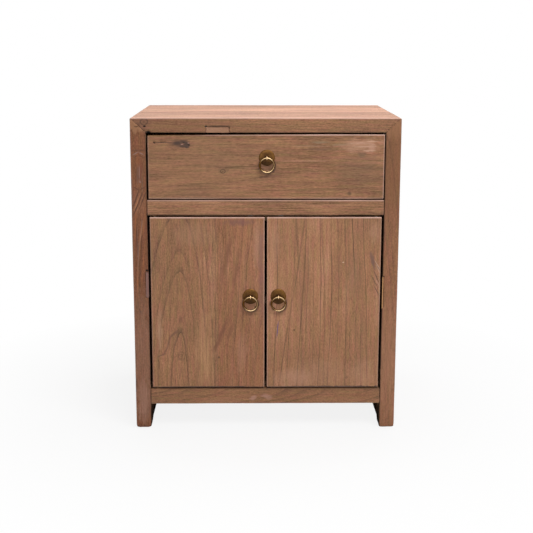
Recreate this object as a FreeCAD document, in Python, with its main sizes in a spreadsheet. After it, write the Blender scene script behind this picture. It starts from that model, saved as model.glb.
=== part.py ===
# Nightstand of reclaimed wood: a mitred slab case with one drawer over a pair of doors, each with a ring
# pull. All sizes are in millimetres. +Z is up, the front faces -Y, and the origin is the middle of the
# footprint on the floor, with the ring pulls counted in.
import FreeCAD
import Part
import Sketcher
import os
import re
from FreeCAD import Placement, Rotation, Vector

# The sizes that can be set one by one
SIZES = {
    # Case
    "case_width": 550,
    "case_depth": 400,
    "case_height": 660,
    "side_thick": 32,
    "top_thick": 30,
    "arris_ease": 2.5,
    "edge_round": 1.5,
    "foot_length": 42,
    "foot_ease": 3,
    "relief_height": 11,
    "relief_round": 9,
    "spline_thick": 5,
    "spline_width": 20,
    "spline_inset": 18,
    "spline_offset": 18.4,
    # Rails
    "ground_gap": 54.5,
    "bottom_rail_height": 34,
    "middle_rail_height": 32,
    "front_rail_depth": 45,
    "rear_rail_depth": 24,
    "tenon_length": 14,
    "tenon_thick": 12,
    "tenon_inset": 14,
    "tenon_shoulder": 6,
    # Floor and back
    "floor_thick": 12,
    "floor_lip": 6,
    "housing_depth": 6,
    "back_thick": 10,
    "back_recess": 1,
    "back_bearing": 8,
    "back_lap": 6,
    "back_boards": 4,
    # Drawer
    "drawer_opening": 137.5,
    "drawer_gap_top": 3,
    "drawer_gap_bottom": 2.5,
    "drawer_gap_left": 3,
    "drawer_gap_right": 1.4,
    "drawer_gap_back": 15,
    "drawer_headroom": 17,
    "drawer_front_thick": 20,
    "drawer_front_lap": 6,
    "drawer_side_thick": 12,
    "drawer_back_thick": 12,
    "drawer_bottom_thick": 6,
    "drawer_bottom_inset": 8,
    "drawer_groove": 6,
    "tail_count": 4,
    "tail_share": 0.52,
    "tail_slope": 0.16,
    "running_gap": 0.3,
    "runner_width": 26,
    "runner_height": 22,
    "stop_length": 30,
    "stop_depth": 18,
    "stop_height": 5,
    "stop_spread": 150,
    # Doors
    "door_thick": 20,
    "door_gap_side": 4.2,
    "door_gap_middle": 4.8,
    "door_gap_top": 3.5,
    "door_gap_bottom": 2.5,
    "door_stop_gap": 0.5,
    "door_sweep_gap": 5,
    "hinge_edge_round": 2.5,
    "batten_width": 38,
    "batten_proud": 10,
    "batten_key": 6,
    "batten_neck": 20,
    "batten_flare": 2,
    "batten_inset": 58,
    "batten_end_gap": 28,
    "pivot_diameter": 6,
    "pivot_clearance": 0.05,
    "pivot_reach": 6,
    "pivot_seat": 16,
    "bush_wall": 2,
    "bush_tail": 2,
    "bush_rim": 2,
    # Stop, catches, shelf
    "head_stop_length": 300,
    "head_stop_depth": 14,
    "head_stop_height": 14,
    "magnet_diameter": 9,
    "magnet_length": 6,
    "strike_diameter": 12,
    "strike_thick": 1.5,
    "catch_spread": 32,
    "shelf_height": 168,
    "shelf_thick": 15,
    "shelf_setback": 50,
    "shelf_gap": 1,
    "cleat_width": 15,
    "cleat_height": 18,
    "cleat_inset": 12,
    # Screws
    "screw_diameter": 3.2,
    "screw_head": 6.4,
    "screw_head_depth": 2.4,
    "screw_bite": 12,
    "screw_inset": 35,
    "runner_screw_count": 3,
    "cleat_screw_count": 2,
    "bottom_screw_count": 3,
    # Pulls
    "plate_diameter": 33,
    "plate_thick": 2,
    "plate_rim": 1.2,
    "plate_bevel": 1.6,
    "ring_diameter": 33,
    "ring_wire": 4,
    "eye_clearance": 0.3,
    "pin_wire": 2.4,
    "pin_leg_wire": 2.2,
    "pin_leg_gap": 0.3,
    "pin_bend": 1.4,
    "pin_tip": 8,
    "pin_hole_clearance": 0.15,
    "drawer_pull_height": 84.5,
    "drawer_pull_shift": 2,
    "door_pull_height": 198.5,
    "left_pull_inset": 31.8,
    "right_pull_inset": 26.6,
    # Let-in repair slips
    "top_patch_length": 48,
    "top_patch_height": 12.5,
    "top_patch_depth": 6,
    "top_patch_shift": 98,
    "left_patch_length": 55,
    "left_patch_width": 6.5,
    "left_patch_low": 287,
    "right_patch_length": 69,
    "right_patch_width": 2.8,
    "right_patch_low": 262,
    "post_patch_depth": 5,
}

# Places that follow from those sizes
LAYOUT = {
    # Pull, measured forward from the front plane
    "eye_radius": "ring_wire / 2 + eye_clearance + pin_wire / 2",
    "eye_reach": "plate_thick + running_gap + eye_radius + pin_wire / 2",
    "pull_reach": "eye_reach + eye_radius + pin_wire / 2",
    "ring_radius": "(ring_diameter - ring_wire) / 2",
    "pin_leg_offset": "(pin_leg_wire + pin_leg_gap) / 2",
    "pin_hole": "2 * pin_leg_offset + pin_leg_wire + 2 * pin_hole_clearance",
    # Case
    "front": "-(case_depth - pull_reach) / 2",
    "back": "front + case_depth",
    "half_width": "case_width / 2",
    "inner_half": "half_width - side_thick",
    "inner_width": "2 * inner_half",
    "top_under": "case_height - top_thick",
    "mitre_share": "arris_ease / (side_thick + top_thick)",
    "arris_x": "half_width - mitre_share * side_thick",
    "arris_z": "case_height - mitre_share * top_thick",
    "mitre_length": "sqrt(side_thick^2 + top_thick^2)",
    "back_inner": "back - back_recess - back_thick",
    "rebate_depth": "back_recess + back_thick",
    # Rails and floor
    "bottom_rail_top": "ground_gap + bottom_rail_height",
    "drawer_bed": "top_under - drawer_opening",
    "middle_rail_low": "drawer_bed - middle_rail_height",
    "floor_top": "bottom_rail_top + floor_lip",
    "floor_low": "floor_top - floor_thick",
    "floor_front": "front + door_thick + door_sweep_gap",
    "stop_front": "front + door_thick + door_stop_gap",
    # Drawer
    "drawer_left": "drawer_gap_left - inner_half",
    "drawer_width": "inner_width - drawer_gap_left - drawer_gap_right",
    "drawer_length": "back_inner - front - drawer_gap_back",
    "drawer_low": "drawer_bed + running_gap",
    "drawer_side_height": "drawer_opening - running_gap - drawer_headroom",
    "drawer_front_low": "drawer_bed + drawer_gap_bottom",
    "drawer_front_height": "drawer_opening - drawer_gap_bottom - drawer_gap_top",
    "drawer_box_front": "drawer_front_thick - drawer_front_lap",
    "drawer_bottom_top": "drawer_bottom_inset + drawer_bottom_thick",
    # Doors
    "door_width": "(inner_width - 2 * door_gap_side - door_gap_middle) / 2",
    "door_low": "bottom_rail_top + door_gap_bottom",
    "door_height": "middle_rail_low - door_gap_top - door_low",
    "door_near": "door_gap_middle / 2",
    "pivot_x": "inner_half - door_gap_side - door_thick / 2",
    "pivot_y": "front + door_thick / 2",
    "bush_bore": "pivot_diameter / 2 + pivot_clearance",
    "bush_radius": "bush_bore + bush_wall",
    "bush_flange": "door_gap_bottom - running_gap",
    "bush_length": "pivot_reach + bush_tail",
    # Shelf
    "shelf_low": "floor_top + shelf_height",
    "cleat_low": "shelf_low - cleat_height",
}

doc = FreeCAD.newDocument("nightstand")
NODES = []


def spelled(text, sheets=("Sizes", "Layout")):
    """The expression with each named size led by the name of its sheet."""
    owners = {"Sizes": SIZES, "Layout": LAYOUT}

    def lead(found):
        for sheet in sheets:
            if found[0] in owners[sheet]:
                return f"{sheet}.{found[0]}"
        return found[0]

    return re.sub(r"[a-z][a-z_]+", lead, str(text))


def fill_sheet(name, rows, sheets):
    """A spreadsheet with one named cell per row, filled from plain numbers or formulas of other cells."""
    sheet = doc.addObject("Spreadsheet::Sheet", name)
    for row, (alias, value) in enumerate(rows.items(), 1):
        formula = isinstance(value, str)
        sheet.set(f"A{row}", alias)
        sheet.set(f"B{row}", "=" + spelled(value, sheets) if formula else str(value))
        sheet.setAlias(f"B{row}", alias)
    doc.recompute()
    return sheet


sizes = fill_sheet("Sizes", SIZES, ())
layout = fill_sheet("Layout", LAYOUT, ("Sizes",))


def value(text):
    """The number that an expression comes to."""
    return float(layout.evalExpression(spelled(text)))


def bind(item, **expressions):
    """Ties properties of an item to expressions of the named sizes."""
    for name, text in expressions.items():
        item.setExpression(name, spelled(text))
    return item


def place(item, x, y, z, turn=Rotation()):
    """Puts an item's origin at x, y, z, each an expression, turned by a fixed rotation."""
    item.Placement = Placement(Vector(), turn)
    for axis, text in zip("xyz", (x, y, z)):
        item.setExpression(f"Placement.Base.{axis}", spelled(text))
    return item


def node(item, label=None):
    """Enters an item as one of the finished pieces, under the label that names its file."""
    item.Label = label or item.Name
    NODES.append(item)
    return item


# Turns that bring an item's own Z axis to another one
ALONG_X = Rotation(Vector(0, 1, 0), 90)
ALONG_Y = Rotation(Vector(1, 0, 0), -90)
UPSIDE_DOWN = Rotation(Vector(1, 0, 0), 180)


def block(name, length, width, height, x="0", y="0", z="0"):
    """A plain rectangular piece."""
    item = doc.addObject("Part::Box", name)
    bind(item, Length=length, Width=width, Height=height)
    return place(item, x, y, z)


def rod(name, radius, length, x, y, z, turn=Rotation()):
    """A round bar along its own Z axis."""
    item = doc.addObject("Part::Cylinder", name)
    bind(item, Radius=radius, Height=length)
    return place(item, x, y, z, turn)


def together(name, pieces):
    """Several solids that count as one item."""
    item = doc.addObject("Part::Compound", name)
    item.Links = list(pieces)
    return item


def fused(name, pieces):
    """Several shapes grown into one solid."""
    item = doc.addObject("Part::MultiFuse", name)
    item.Shapes = list(pieces)
    item.Refine = True
    return item


def fitted(name, base, pieces):
    """The base with a seat cut out for each of the pieces that it takes."""
    item = doc.addObject("Part::Cut", name)
    item.Base = base
    item.Tool = pieces[0] if len(pieces) == 1 else together(name + "_seats", pieces)
    item.Refine = True
    return item


def body_of(name):
    """An empty body."""
    return doc.addObject("PartDesign::Body", name)


def board(name, length, width, height):
    """A body that starts as a rectangular board with its lower front left corner at its own origin."""
    body = body_of(name)
    stock = body.newObject("PartDesign::AdditiveBox", name + "_stock")
    bind(stock, Length=length, Width=width, Height=height)
    return body


def add_block(body, name, length, width, height, x, y, z):
    """Adds a rectangular part, such as a tenon, to a body."""
    item = body.newObject("PartDesign::AdditiveBox", f"{body.Name}_{name}")
    bind(item, Length=length, Width=width, Height=height)
    return place(item, x, y, z)


def cut_block(body, name, length, width, height, x, y, z):
    """Cuts a rectangular recess, such as a groove or a mortise, out of a body."""
    item = body.newObject("PartDesign::SubtractiveBox", f"{body.Name}_{name}")
    bind(item, Length=length, Width=width, Height=height)
    return place(item, x, y, z)


def bore(body, name, radius, depth, x, y, z, turn=Rotation()):
    """Drills a round hole into a body."""
    item = body.newObject("PartDesign::SubtractiveCylinder", f"{body.Name}_{name}")
    bind(item, Radius=radius, Height=depth)
    return place(item, x, y, z, turn)


def outline(body, name, plane, points, offset="0"):
    """A closed sketch of straight lines through named places, on one of the body's own origin planes."""
    sketch = body.newObject("Sketcher::SketchObject", f"{body.Name}_{name}")
    support = next(item for item in body.Origin.OriginFeatures if item.Role == plane)
    sketch.AttachmentSupport = [(support, "")]
    sketch.MapMode = "FlatFace"
    sketch.setExpression("AttachmentOffset.Base.z", spelled(offset))
    places = [Vector(value(across), value(up), 0) for across, up in points]
    for index, start in enumerate(places):
        sketch.addGeometry(Part.LineSegment(start, places[(index + 1) % len(places)]), False)
    for index in range(len(places)):
        sketch.addConstraint(Sketcher.Constraint("Coincident", index, 2, (index + 1) % len(places), 1))
    for index, (across, up) in enumerate(points):
        for kind, text, number, axis in (
            ("DistanceX", across, places[index].x, -2),
            ("DistanceY", up, places[index].y, -1),
        ):
            if text == "0":
                sketch.addConstraint(Sketcher.Constraint("PointOnObject", index, 1, axis))
            else:
                entry = sketch.addConstraint(Sketcher.Constraint(kind, -1, 1, index, 1, number))
                sketch.setExpression(f"Constraints[{entry}]", spelled(text))
    return sketch


def profile(name, plane, points, length, offset="0"):
    """A body whose outline on one plane is padded along the plane's normal."""
    body = body_of(name)
    pad = body.newObject("PartDesign::Pad", name + "_pad")
    pad.Profile = outline(body, "outline", plane, points, offset)
    bind(pad, Length=length)
    return body


def turned(name, plane, points):
    """A body turned about the plane's upright axis, like a piece from a lathe."""
    body = body_of(name)
    sketch = outline(body, "outline", plane, points)
    spin = body.newObject("PartDesign::Revolution", name + "_turning")
    spin.Profile = sketch
    spin.ReferenceAxis = (sketch, ["V_Axis"])
    spin.Angle = 360
    return body


def edges_where(shape, wanted):
    """The names of a shape's edges whose bounding box satisfies a test."""
    return [f"Edge{index}" for index, edge in enumerate(shape.Edges, 1) if wanted(edge.BoundBox)]


def near(one, other):
    """Whether two measures are the same but for rounding."""
    return abs(one - other) < 1e-6


def ease(body, name, radius, wanted):
    """Rounds those edges of a body that satisfy a test."""
    doc.recompute()
    tip = body.Tip
    names = edges_where(tip.Shape, wanted)
    fillet = body.newObject("PartDesign::Fillet", f"{body.Name}_{name}")
    fillet.Base = (tip, names)
    return bind(fillet, Radius=radius)


def mirrored(name, source):
    """The same item on the other side of the middle plane."""
    item = doc.addObject("Part::Mirroring", name)
    item.Source = source
    item.Normal = Vector(1, 0, 0)
    return item


def low_x(sign, close, far):
    """The lower X of a piece that lies from close to far from the middle, on the side that sign gives."""
    return close if sign > 0 else f"-({far})"


def at_x(sign, distance):
    """The X of a place so far from the middle, on the side that sign gives."""
    return distance if sign > 0 else f"-({distance})"


SIDES = (("left", -1), ("right", 1))


def mitre_spline(side, sign):
    """The loose tongue inside a mitre, square to it and nearer its inner corner."""
    run, rise = "side_thick / mitre_length", "top_thick / mitre_length"
    points = []
    for along, across in ((-1, -1), (1, -1), (1, 1), (-1, 1)):
        on_mitre = f"(spline_offset + {along} * spline_thick / 2)"
        off_mitre = f"{across} * spline_width / 2"
        x = f"inner_half + {on_mitre} * {run} - {off_mitre} * {rise}"
        z = f"top_under + {on_mitre} * {rise} + {off_mitre} * {run}"
        points.append((at_x(sign, x), z))
    length = "case_depth - 2 * spline_inset"
    return node(profile(f"mitre_spline_{side}", "XZ_Plane", points, length, "spline_inset - back"))


def side_blank():
    """The right side: a slab with a mitred top, a relief between its feet, and a rebate for the back."""
    points = [
        ("inner_half + foot_ease", "0"),
        ("half_width - foot_ease", "0"),
        ("half_width", "foot_ease"),
        ("half_width", "case_height - arris_ease"),
        ("arris_x", "arris_z"),
        ("inner_half", "top_under"),
        ("inner_half", "foot_ease"),
    ]
    body = profile("side_blank", "XZ_Plane", points, "case_depth", "-back")
    cut_block(
        body, "relief", "side_thick", "case_depth - 2 * foot_length", "relief_height",
        "inner_half", "front + foot_length", "0",
    )
    top = value("relief_height")
    ease(body, "relief_ends", "relief_round", lambda box: near(box.ZMin, top) and near(box.YLength, 0))
    front = value("front")
    ease(
        body, "front_edges", "edge_round",
        lambda box: near(box.YMin, front) and near(box.YMax, front) and near(box.XLength, 0),
    )
    cut_block(
        body, "back_rebate", "back_bearing", "rebate_depth", "top_under + back_bearing - ground_gap",
        "inner_half", "back_inner", "ground_gap",
    )
    return body


def top_blank():
    """The top: a slab mitred at both ends, with the rebate for the back on its rear lower edge."""
    points = [
        ("-inner_half", "top_under"),
        ("inner_half", "top_under"),
        ("arris_x", "arris_z"),
        ("half_width - arris_ease", "case_height"),
        ("arris_ease - half_width", "case_height"),
        ("-arris_x", "arris_z"),
    ]
    body = profile("top_blank", "XZ_Plane", points, "case_depth", "-back")
    front, top, under = value("front"), value("case_height"), value("top_under")
    ease(
        body, "front_edges", "edge_round",
        lambda box: near(box.YMin, front) and near(box.YMax, front) and near(box.ZLength, 0)
        and (near(box.ZMin, top) or near(box.ZMin, under)),
    )
    cut_block(
        body, "back_rebate", "inner_width + 2 * back_bearing", "rebate_depth", "back_bearing",
        "-inner_half - back_bearing", "back_inner", "top_under",
    )
    return body


def rail(name, height, depth, front, low):
    """A cross rail with a stub tenon at each end and eased long edges at the front."""
    body = board(name, "inner_width", depth, height)
    ease(body, "front_edges", "edge_round", lambda box: near(box.YMax, 0) and near(box.ZLength, 0))
    tenon_height = f"{height} - 2 * tenon_shoulder"
    tenon_place = f"min(tenon_inset, {depth} - tenon_thick)"
    for side, x in (("left", "-tenon_length"), ("right", "inner_width")):
        add_block(
            body, f"{side}_tenon", "tenon_length", "tenon_thick", tenon_height,
            x, tenon_place, "tenon_shoulder",
        )
    return place(body, "-inner_half", front, low)


def bottom_rail():
    """The front rail under the doors, rebated for the cabinet floor and bored for the lower bushes."""
    body = rail("bottom_rail", "bottom_rail_height", "front_rail_depth", "front", "ground_gap")
    cut_block(
        body, "floor_rebate", "inner_width", "front_rail_depth", "floor_thick",
        "0", "floor_front - front", "floor_low - ground_gap",
    )
    for side, sign in SIDES:
        bore(
            body, f"{side}_bush_seat", "bush_radius", "bush_length",
            "inner_half + " + at_x(sign, "pivot_x"), "door_thick / 2", "bottom_rail_height - bush_length",
        )
    return node(body)


def middle_rail():
    """The front rail between the drawer and the doors, bored for the upper bushes."""
    body = rail("middle_rail", "middle_rail_height", "front_rail_depth", "front", "middle_rail_low")
    for side, sign in SIDES:
        bore(
            body, f"{side}_bush_seat", "bush_radius", "bush_length",
            "inner_half + " + at_x(sign, "pivot_x"), "door_thick / 2", "0",
        )
    return node(body)


def rear_rails():
    """The two rails at the back, which carry the floor, the runners and the back boards."""
    depth, place_y = "rear_rail_depth", "back_inner - rear_rail_depth"
    low = rail("rear_bottom_rail", "(floor_low - ground_gap)", depth, place_y, "ground_gap")
    middle = rail("rear_middle_rail", "middle_rail_height", depth, place_y, "middle_rail_low")
    return node(low), node(middle)


def cabinet_floor():
    """The cupboard's floor, let into the sides and the bottom rail, clear of the doors' turning edges."""
    return node(
        block(
            "cabinet_floor", "inner_width + 2 * housing_depth", "back_inner - floor_front", "floor_thick",
            "-inner_half - housing_depth", "floor_front", "floor_low",
        )
    )


def back_boards():
    """Upright boards, each lapping half of its neighbour's thickness."""
    count = int(value("back_boards"))
    pitch = f"(inner_width + 2 * back_bearing) / {count}"
    boards = []
    for index in range(count):
        start = f"({pitch}) * {index} - inner_half - back_bearing"
        end = f"({pitch}) * {index + 1} - inner_half - back_bearing"
        middle = "back_inner + back_thick / 2"
        rear = "back_inner + back_thick"
        points = [(start, "back_inner")] if index == 0 else [(f"{start} + back_lap", "back_inner")]
        if index < count - 1:
            points += [(f"{end} + back_lap", "back_inner"), (f"{end} + back_lap", middle), (end, middle)]
        else:
            points += [(end, "back_inner")]
        points += [(end, rear), (start, rear)]
        if index > 0:
            points += [(start, middle), (f"{start} + back_lap", middle)]
        name = f"back_board_{index + 1}"
        boards.append(
            node(profile(name, "XY_Plane", points, "top_under + back_bearing - ground_gap", "ground_gap"))
        )
    return boards


def screw(name, through, x, y, z, turn):
    """A countersunk screw along its own Z axis, through a strip and into what carries it."""
    head = doc.addObject("Part::Cone", name + "_head")
    bind(head, Radius1="screw_head / 2", Radius2="screw_diameter / 2", Height="screw_head_depth")
    length = f"{through} - screw_head_depth + screw_bite"
    shank = rod(name + "_shank", "screw_diameter / 2", length, "0", "0", "screw_head_depth")
    return place(fused(name, (head, shank)), x, y, z, turn)


def side_screws(name, inner, start, length, heights, count_name):
    """Screws through a strip on each side's inner face, evenly spread along the strip."""
    count = int(value(count_name))
    screws = []
    for side, sign in SIDES:
        for index in range(count):
            share = f"(({length}) - 2 * screw_inset) * {index} / {max(count - 1, 1)}"
            turn = ALONG_X if sign > 0 else ALONG_X.inverted()
            screws.append(
                screw(
                    f"{name}_{side}_{index}", inner, at_x(sign, f"inner_half - {inner}"),
                    f"{start} + screw_inset + {share}", heights, turn,
                )
            )
    return node(together(name, screws))


def drawer_runners():
    """The strips between the middle rails that carry the drawer's sides, screwed to the case."""
    start = "front + front_rail_depth"
    length = "back_inner - rear_rail_depth - front - front_rail_depth"
    middle = "drawer_bed - runner_height / 2"
    screws = side_screws("runner_screws", "runner_width", start, length, middle, "runner_screw_count")
    for side, sign in SIDES:
        strip = block(
            f"drawer_runner_{side}_strip", "runner_width", length, "runner_height",
            low_x(sign, "inner_half - runner_width", "inner_half"), start, "drawer_bed - runner_height",
        )
        node(fitted(f"drawer_runner_{side}", strip, [screws]))
    return screws


def drawer_stops():
    """Two blocks on the middle rail that the drawer's front closes against."""
    for side, sign in SIDES:
        node(
            block(
                f"drawer_stop_{side}", "stop_length", "stop_depth", "stop_height",
                low_x(sign, "stop_spread", "stop_spread + stop_length"),
                "front + drawer_front_thick + running_gap", "drawer_bed",
            )
        )


def door_head_stop():
    """The strip under the middle rail that stops the doors, bored for the two catch magnets."""
    body = board("door_head_stop", "head_stop_length", "head_stop_depth", "head_stop_height")
    magnets = []
    for side, sign in SIDES:
        bore(
            body, f"{side}_magnet_seat", "magnet_diameter / 2", "magnet_length",
            "head_stop_length / 2 + " + at_x(sign, "catch_spread"), "0", "head_stop_height / 2", ALONG_Y,
        )
        magnets.append(
            rod(
                f"{side}_magnet", "magnet_diameter / 2", "magnet_length",
                at_x(sign, "catch_spread"), "stop_front", "middle_rail_low - head_stop_height / 2", ALONG_Y,
            )
        )
    place(body, "-head_stop_length / 2", "stop_front", "middle_rail_low - head_stop_height")
    node(body)
    return node(together("catch_magnets", magnets))


def shelf_and_cleats():
    """A loose shelf on two cleats that are screwed to the sides."""
    start = "front + shelf_setback + cleat_inset"
    length = "back_inner - front - shelf_setback - 2 * cleat_inset"
    middle = "shelf_low - cleat_height / 2"
    screws = side_screws("cleat_screws", "cleat_width", start, length, middle, "cleat_screw_count")
    for side, sign in SIDES:
        strip = block(
            f"shelf_cleat_{side}_strip", "cleat_width", length, "cleat_height",
            low_x(sign, "inner_half - cleat_width", "inner_half"), start, "cleat_low",
        )
        node(fitted(f"shelf_cleat_{side}", strip, [screws]))
    depth = "back_inner - front - shelf_setback - shelf_gap"
    shelf = board("shelf", "inner_width - 2 * shelf_gap", depth, "shelf_thick")
    ease(shelf, "front_edges", "edge_round", lambda box: near(box.YMax, 0) and near(box.ZLength, 0))
    node(place(shelf, "shelf_gap - inner_half", "front + shelf_setback", "shelf_low"))
    return screws


def pivot_bush(side, sign, level):
    """A flanged bush that a door's pivot pin turns in: the lower one carries the door on its flange."""
    points = [
        ("bush_bore", "0"),
        ("bush_radius", "0"),
        ("bush_radius", "bush_length"),
        ("bush_radius + bush_rim", "bush_length"),
        ("bush_radius + bush_rim", "bush_length + bush_flange"),
        ("bush_bore", "bush_length + bush_flange"),
    ]
    bush = turned(f"{side}_pivot_bush_{level}", "XZ_Plane", points)
    if level == "lower":
        place(bush, at_x(sign, "pivot_x"), "pivot_y", "bottom_rail_top - bush_length")
    else:
        place(bush, at_x(sign, "pivot_x"), "pivot_y", "middle_rail_low + bush_length", UPSIDE_DOWN)
    return node(bush)


def repair_slips():
    """Slips of wood let into the front edges where they had chipped."""
    top = block(
        "top_edge_patch", "top_patch_length", "top_patch_depth", "top_patch_height",
        "-top_patch_shift - top_patch_length / 2", "front", "top_under",
    )
    left = block(
        "left_post_patch", "left_patch_width", "post_patch_depth", "left_patch_length",
        "-inner_half - left_patch_width", "front", "left_patch_low",
    )
    right = block(
        "right_post_patch", "right_patch_width", "post_patch_depth", "right_patch_length",
        "inner_half", "front", "right_patch_low",
    )
    return [node(top), node(left), node(right)]


def tails(baseline, tip, low, height):
    """The corner points of a row of dovetails between a baseline and their tips, from the lowest up."""
    count = int(value("tail_count"))
    points = []
    for index in range(count):
        middle = f"{low} + ({height}) * ({index} + 0.5) / {count}"
        neck = f"({height}) / {count} * tail_share / 2"
        wide = f"{neck} + tail_slope * ({tip[1]})"
        points += [
            (baseline, f"{middle} - ({neck})"),
            (tip[0], f"{middle} - ({wide})"),
            (tip[0], f"{middle} + ({wide})"),
            (baseline, f"{middle} + ({neck})"),
        ]
    return points


def drawer_side(side, sign):
    """A drawer side, with its dovetails at both ends: half lapped in front and through at the back."""
    high = "drawer_side_height"
    back_low = "drawer_bottom_top"
    rear_line = "drawer_length - drawer_back_thick"
    rear = tails(rear_line, ("drawer_length", "drawer_back_thick"), back_low, f"{high} - ({back_low})")
    front = tails("drawer_front_thick", ("drawer_front_lap", "drawer_box_front"), "0", high)
    points = [("drawer_front_thick", "0"), ("drawer_length", "0")]
    points += [("drawer_length", back_low), (rear_line, back_low)]
    points += rear
    points += [(rear_line, high), ("drawer_front_thick", high)]
    points += reversed(front)
    name = f"drawer_side_{side}"
    blank = profile(name + "_blank", "YZ_Plane", points, "drawer_side_thick")
    x = "drawer_left" if sign < 0 else "drawer_left + drawer_width - drawer_side_thick"
    return place(blank, x, "front", "drawer_low")


def drawer():
    """The dovetailed drawer box, with its bottom held in grooves and screwed to its back from below."""
    bottom = block(
        "drawer_bottom_panel", "drawer_width - 2 * drawer_side_thick + 2 * drawer_groove",
        "drawer_length - drawer_front_thick + drawer_groove", "drawer_bottom_thick",
        "drawer_left + drawer_side_thick - drawer_groove", "front + drawer_front_thick - drawer_groove",
        "drawer_low + drawer_bottom_inset",
    )
    blanks = [drawer_side(side, sign) for side, sign in SIDES]
    for (side, sign), blank in zip(SIDES, blanks):
        node(fitted(f"drawer_side_{side}", blank, [bottom]))

    front = board("drawer_front_blank", "drawer_width", "drawer_front_thick", "drawer_front_height")
    ease(front, "front_edges", "edge_round", lambda box: near(box.YMax, 0))
    pull_x = "drawer_pull_shift - drawer_left"
    bore(front, "pin_hole", "pin_hole / 2", "drawer_front_thick", pull_x, "0", "drawer_pull_height", ALONG_Y)
    place(front, "drawer_left", "front", "drawer_front_low")
    node(fitted("drawer_front", front, [bottom, *blanks]))

    screws = []
    count = int(value("bottom_screw_count"))
    for index in range(count):
        across = f"drawer_left + drawer_width * ({index} + 0.5) / {count}"
        behind = "front + drawer_length - drawer_back_thick / 2"
        screws.append(
            screw(
                f"drawer_bottom_screw_{index}", "drawer_bottom_thick",
                across, behind, "drawer_low + drawer_bottom_inset", Rotation(),
            )
        )
    screws = node(together("drawer_bottom_screws", screws))
    node(fitted("drawer_bottom", bottom, [screws]))

    back = block(
        "drawer_back_blank", "drawer_width", "drawer_back_thick", "drawer_side_height - drawer_bottom_top",
        "drawer_left", "front + drawer_length - drawer_back_thick", "drawer_low + drawer_bottom_top",
    )
    node(fitted("drawer_back", back, [*blanks, screws]))


def batten(name, side, sign, low):
    """A batten across a door's back, held by a dovetailed key that slides in from the hinge edge."""
    half_neck, half_root = "batten_neck / 2", "batten_neck / 2 + batten_flare"
    face = "pivot_y + door_thick / 2"
    points = [
        (f"{face} - batten_key", f"{low} - ({half_root})"),
        (face, f"{low} - {half_neck}"),
        (face, f"{low} + {half_neck}"),
        (f"{face} - batten_key", f"{low} + {half_root}"),
    ]
    start = low_x(sign, "door_near + batten_end_gap", "door_near + door_width")
    body = profile(name, "YZ_Plane", points, "door_width - batten_end_gap", start)
    add_block(
        body, "bar", "door_width - 2 * batten_end_gap", "batten_proud", "batten_width",
        low_x(sign, "door_near + batten_end_gap", "door_near + door_width - batten_end_gap"),
        face, f"{low} - batten_width / 2",
    )
    rear = value(f"{face} + batten_proud")
    ease(body, "bar_edges", "edge_round", lambda box: near(box.YMin, rear) and near(box.YMax, rear))
    return node(body)


def door(side, sign, pull_inset):
    """A slab door with two battens, its pivot pins and the steel disc that its catch holds."""
    battens = [
        batten(f"{side}_door_batten_lower", side, sign, "door_low + batten_inset"),
        batten(f"{side}_door_batten_upper", side, sign, "door_low + door_height - batten_inset"),
    ]
    blank = board(f"{side}_door_blank", "door_width", "door_thick", "door_height")
    hinge_edge = value("door_width") if sign > 0 else 0
    rounding = value("door_width - hinge_edge_round" if sign > 0 else "hinge_edge_round")
    ease(
        blank, "hinge_edges", "hinge_edge_round",
        lambda box: near(box.XMin, hinge_edge) and near(box.XMax, hinge_edge) and near(box.YLength, 0),
    )
    ease(
        blank, "front_edges", "edge_round",
        lambda box: near(box.YMin, 0) and near(box.YMax, 0)
        and not (near(box.XMin, rounding) and near(box.XMax, rounding)),
    )
    left = low_x(sign, "door_near", "door_near + door_width")
    across = f"({at_x(sign, 'pivot_x')}) - ({left})"
    pins = []
    for level, low, seat in (
        ("lower", "door_low - door_gap_bottom - pivot_reach", "0"),
        ("upper", "door_low + door_height - pivot_seat", "door_height - pivot_seat"),
    ):
        bore(blank, f"{level}_pivot_seat", "pivot_diameter / 2", "pivot_seat", across, "door_thick / 2", seat)
        gap = "door_gap_bottom" if level == "lower" else "door_gap_top"
        pins.append(
            rod(
                f"{side}_door_pivot_{level}", "pivot_diameter / 2", f"pivot_seat + {gap} + pivot_reach",
                at_x(sign, "pivot_x"), "pivot_y", low,
            )
        )
    node(together(f"{side}_door_pivots", pins))
    bore(
        blank, "pin_hole", "pin_hole / 2", "door_thick",
        f"({at_x(sign, pull_inset)}) - ({left})", "0", "door_pull_height", ALONG_Y,
    )
    strike_x = at_x(sign, "catch_spread")
    strike_z = "middle_rail_low - head_stop_height / 2"
    bore(
        blank, "strike_seat", "strike_diameter / 2", "strike_thick",
        f"({strike_x}) - ({left})", "door_thick - strike_thick", f"{strike_z} - door_low", ALONG_Y,
    )
    place(blank, left, "front", "door_low")
    node(fitted(f"{side}_door_panel", blank, battens))
    node(
        rod(
            f"{side}_door_strike", "strike_diameter / 2", "strike_thick",
            strike_x, "front + door_thick - strike_thick", strike_z, ALONG_Y,
        )
    )


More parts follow.
